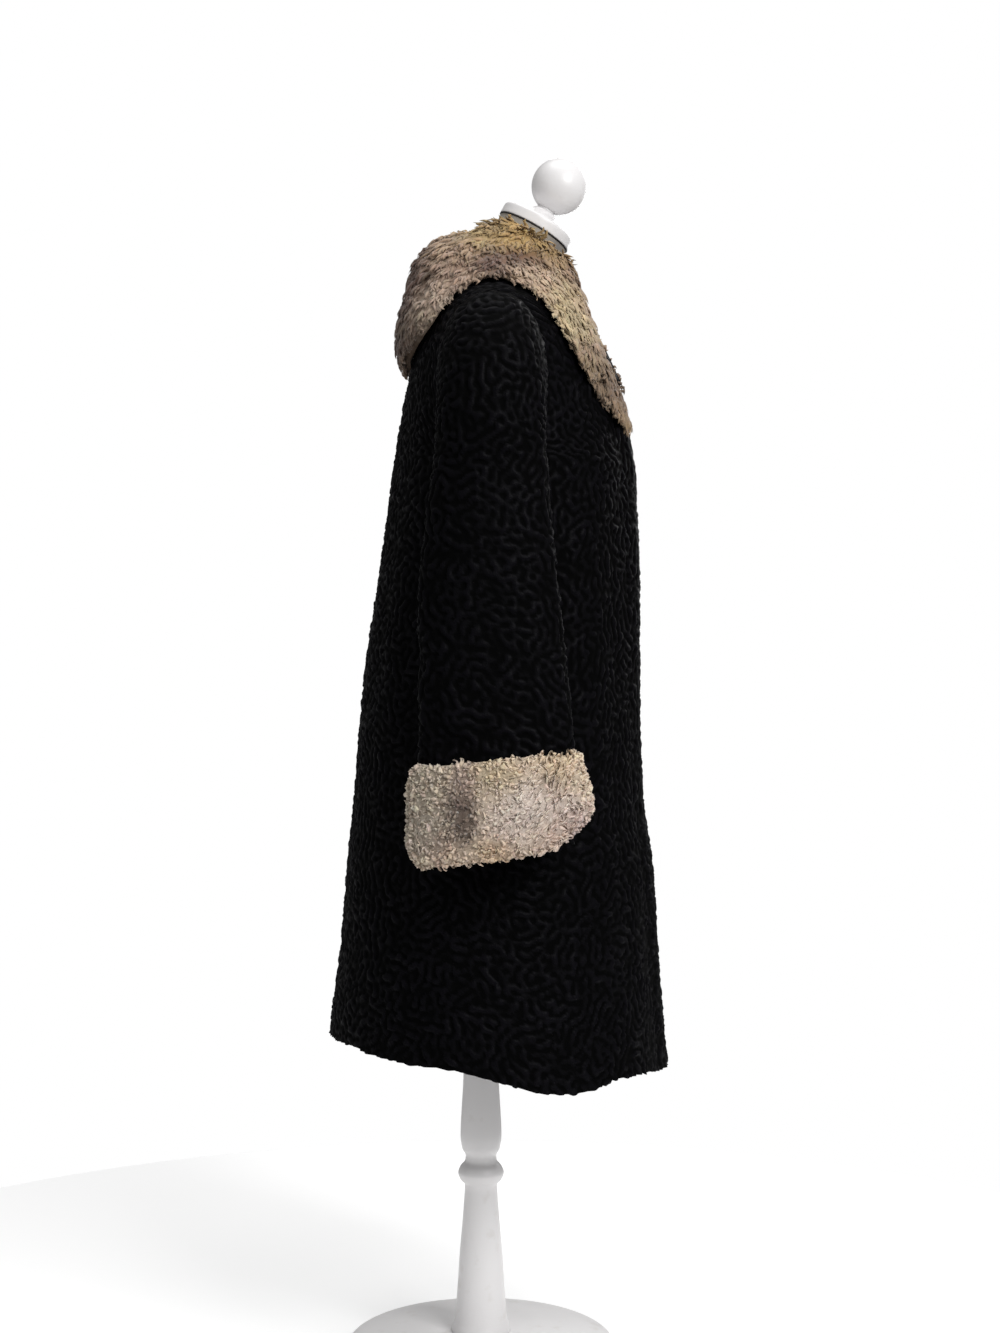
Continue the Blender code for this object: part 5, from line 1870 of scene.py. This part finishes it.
@dataclass
class DressForm:
    """The covered torso, its black band and the white turned wood above and below it."""

    steps: int = 80
    trim_radius: float = 0.0490
    trim_thick: float = 0.0034
    trim_chamfer: tuple[float, float] = (0.0004, 0.0003)
    band: float = 0.0013            # width of the black band that shows under the cap
    ball: float = 0.0355
    ball_height: float = 0.0640
    stem: float = 0.0110
    cap: Rows = (                   # radius and height in mm, as for the two below
        (0, 27.5), (15, 27), (20.5, 21.5), (31, 16.5), (42, 14), (47.5, 12), (49, 9.5),
        (49, -1.2), (48.4, -2), (0, -2),
    )
    post: Rows = (
        (0, 619), (20, 619), (20.5, 550), (21.2, 400), (22.5, 345), (24.8, 305), (26, 276),
        (24, 259), (19.6, 250), (20, 244), (26.2, 236), (29, 228), (26.2, 220), (20.5, 213),
        (22.5, 180), (27.5, 120), (30, 80), (34, 42), (37, 32), (37, 28.5), (0, 28.5),
    )
    base: Rows = (
        (0, 28), (60, 28), (130, 24), (158, 20), (167, 15), (170, 9), (169, 3), (166, 0), (0, 0),
    )

    @staticmethod
    def eased(profile: Rows, count: int = 5) -> list[tuple[float, ...]]:
        """Put more corners on a profile's smooth line.

        Args:
            profile: Radius and height in mm; its first and last pairs stay straight.
            count: Corners from one given corner to the next.

        Returns:
            Radius and height in metres.
        """
        rows = metres(profile, slice(0, None))
        inner = rows[1:-1]
        steps = np.linalg.norm(np.diff(inner, axis=0), axis=1)
        walked = np.concatenate([[0.0], np.cumsum(steps)])
        at = np.concatenate([np.linspace(a, b, count) for a, b in zip(walked, walked[1:])])
        fine = smooth(np.column_stack([walked, inner]), np.unique(at))
        return [tuple(row) for row in (rows[0], *fine, rows[-1])]

    def build(self) -> list[bpy.types.Object]:
        """Build the form and its woodwork.

        Returns:
            The pieces.
        """
        paint = WhitePaint().material()
        top, low = self.band - self.trim_thick, -self.trim_thick
        radius, (inset, drop) = self.trim_radius, self.trim_chamfer
        trim = ((0.0, top), (radius - inset, top), (radius, top - drop), (radius, low + drop),
                (radius - inset, low), (0.0, low))
        foot, wide = self.cap[0][1] / 1000.0 + SEAM_GAP, self.stem * 1.12
        arc = np.linspace(0.0, math.pi - math.asin(self.stem / self.ball), 40)
        ball = [(self.ball * math.sin(a), self.ball_height + self.ball * math.cos(a)) for a in arc]
        ball += [(self.stem * 1.02, foot + 0.003), (wide, foot + 0.001), (wide, foot), (0.0, foot)]
        tilted = (CAP_CENTRE, CAP_TILT_DEG)
        named = (
            ("black_band", trim, BlackBand().material(), tilted, "cap_trim", "black_trim"),
            ("turned_cap", self.eased(self.cap), paint, tilted, "neck_cap", "white_paint"),
            ("turned_finial", ball, paint, tilted, "finial", "white_paint"),
            ("turned_post", self.eased(self.post), paint, (), "post", "white_paint"),
            ("round_foot", self.eased(self.base), paint, (), "base", "white_paint"),
        )
        pieces = []
        for name, profile, finish, lean, node, slot in named:
            piece = swept(name, profile, finish, self.steps, *lean)
            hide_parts(node)
            pieces += settled([piece])
        cover = self.cover()
        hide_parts("form_torso")
        return pieces + settled([cover])

    @staticmethod
    def cover() -> bpy.types.Object:
        """Build the padded torso and neck under their linen cover.

        Returns:
            The cover.
        """
        oval = smooth(FORM_OVALS, np.linspace(0.0, 1.0, 89))[:, None, :]
        z, middle_y, half_width, half_depth, tilt = np.moveaxis(oval, -1, 0)
        angle, lean = np.linspace(0.0, TURN, 73), np.radians(tilt)
        forward = half_depth * np.cos(angle)
        grid = points(half_width * np.sin(angle), middle_y - forward * np.cos(lean),
                      z - forward * np.sin(lean))
        grid[:, -1] = grid[:, 0]
        made = dressed("form_cover", wrapped("form_cover", grid, True), FormCover().material())
        made.data.set_sharp_from_angle(angle=SHARP_ANGLE)
        return made


# ---------------------------------------------------------------- the studio
@dataclass(frozen=True)
class Softbox:
    """A large soft light that looks at the coat."""

    name: str
    place: Point
    aim: Point
    size: float
    watts: float


@dataclass
class Studio:
    """A pale floor, a near-white surround, soft lights and the camera."""

    floor_radius: float = 1.15
    floor_tints: tuple[float, float] = (0.93, 0.91)
    floor_glow: float = 0.25
    ambient: float = 0.32
    lights: tuple[Softbox, ...] = (
        Softbox("key", (-2.5, -1.7, 2.6), (0.0, 0.0, 1.1), 1.5, 86.0),
        Softbox("fill", (-2.6, 2.0, 1.9), (0.0, 0.0, 0.9), 2.0, 7.0),
        Softbox("top", (0.0, 0.0, 3.4), (0.0, 0.0, 1.2), 1.4, 20.0),
        Softbox("far", (2.2, -0.9, 2.0), (0.0, 0.0, 1.0), 1.8, 36.0),
    )
    eye: Point = (-2.6, -0.0241, 0.87)
    lens: float = 55.3
    sensor: float = 36.0

    def build(self) -> None:
        """Build the stage."""
        self.floor()
        self.world()
        for light in self.lights:
            self.light(light)
        self.camera()

    def floor(self) -> None:
        """Lay a pale disc under the foot."""
        bm = bmesh.new()
        bmesh.ops.create_circle(bm, cap_ends=True, radius=self.floor_radius, segments=96)
        nodes = Nodes.named("pale_floor")
        shade = nodes.mixed(nodes.noise(3.0), *((tint,) * 3 for tint in self.floor_tints))
        finish = nodes.finish(shade, 0.9, None, Specular_IOR_Level=0.1, Emission_Color=WHITE,
                              Emission_Strength=self.floor_glow)
        dressed("studio_floor", poured("studio_floor", bm), finish)

    def world(self) -> None:
        """Make the surround, near-white to the eye and dimmer as light."""
        world = bpy.data.worlds.new("studio")
        nodes = Nodes(world)
        nodes.tree.nodes.clear()
        seen = nodes.add("Background", {"Color": WHITE}).outputs["Background"]
        lit = nodes.add("Background", {"Color": WHITE, "Strength": self.ambient})
        ray = nodes.add("LightPath", {}).outputs["Is Camera Ray"]
        mix = nodes.add("MixShader", {"Fac": ray, 1: lit.outputs["Background"], 2: seen})
        nodes.add("OutputWorld", {"Surface": mix.outputs["Shader"]})
        bpy.context.scene.world = world
        bpy.context.scene.view_settings.view_transform = "Standard"

    @staticmethod
    def light(box: Softbox) -> None:
        """Place one softbox.

        Args:
            box: The softbox.
        """
        data = bpy.data.lights.new(box.name, "AREA")
        data.shape, data.size, data.energy = "SQUARE", box.size, box.watts
        made = bpy.data.objects.new(box.name, data)
        made.location = box.place
        aim = Vector(box.aim) - Vector(box.place)
        made.rotation_euler = aim.to_track_quat("-Z", "Y").to_euler()
        bpy.context.scene.collection.objects.link(made)

    def camera(self) -> None:
        """Set the camera at the photograph's angle, level with the coat's middle."""
        data = bpy.data.cameras.new("camera")
        data.lens, data.sensor_width = self.lens, self.sensor
        made = bpy.data.objects.new("camera", data)
        made.location = self.eye
        made.rotation_euler = (math.radians(90.0), 0.0, math.radians(-90.0))
        bpy.context.scene.collection.objects.link(made)
        bpy.context.scene.camera = made


def main() -> None:
    """Build the studio, the dress form and the coat, and report each piece."""
    logging.basicConfig(level=logging.INFO, format="%(name)s: %(message)s")
    Studio().build()
    pieces = DressForm().build()
    pieces += LambCoat(CurlPattern()).build()
    pieces += FurCollar().build()
    for side in Side:
        pieces += FurCuff(side).build()
    for piece in pieces:
        piece.data.calc_loop_triangles()
        LOG.info("%s: %d triangles", piece.name, len(piece.data.loop_triangles))
    LOG.info("all pieces: %d triangles", sum(len(piece.data.loop_triangles) for piece in pieces))


if __name__ == "__main__":
    main()
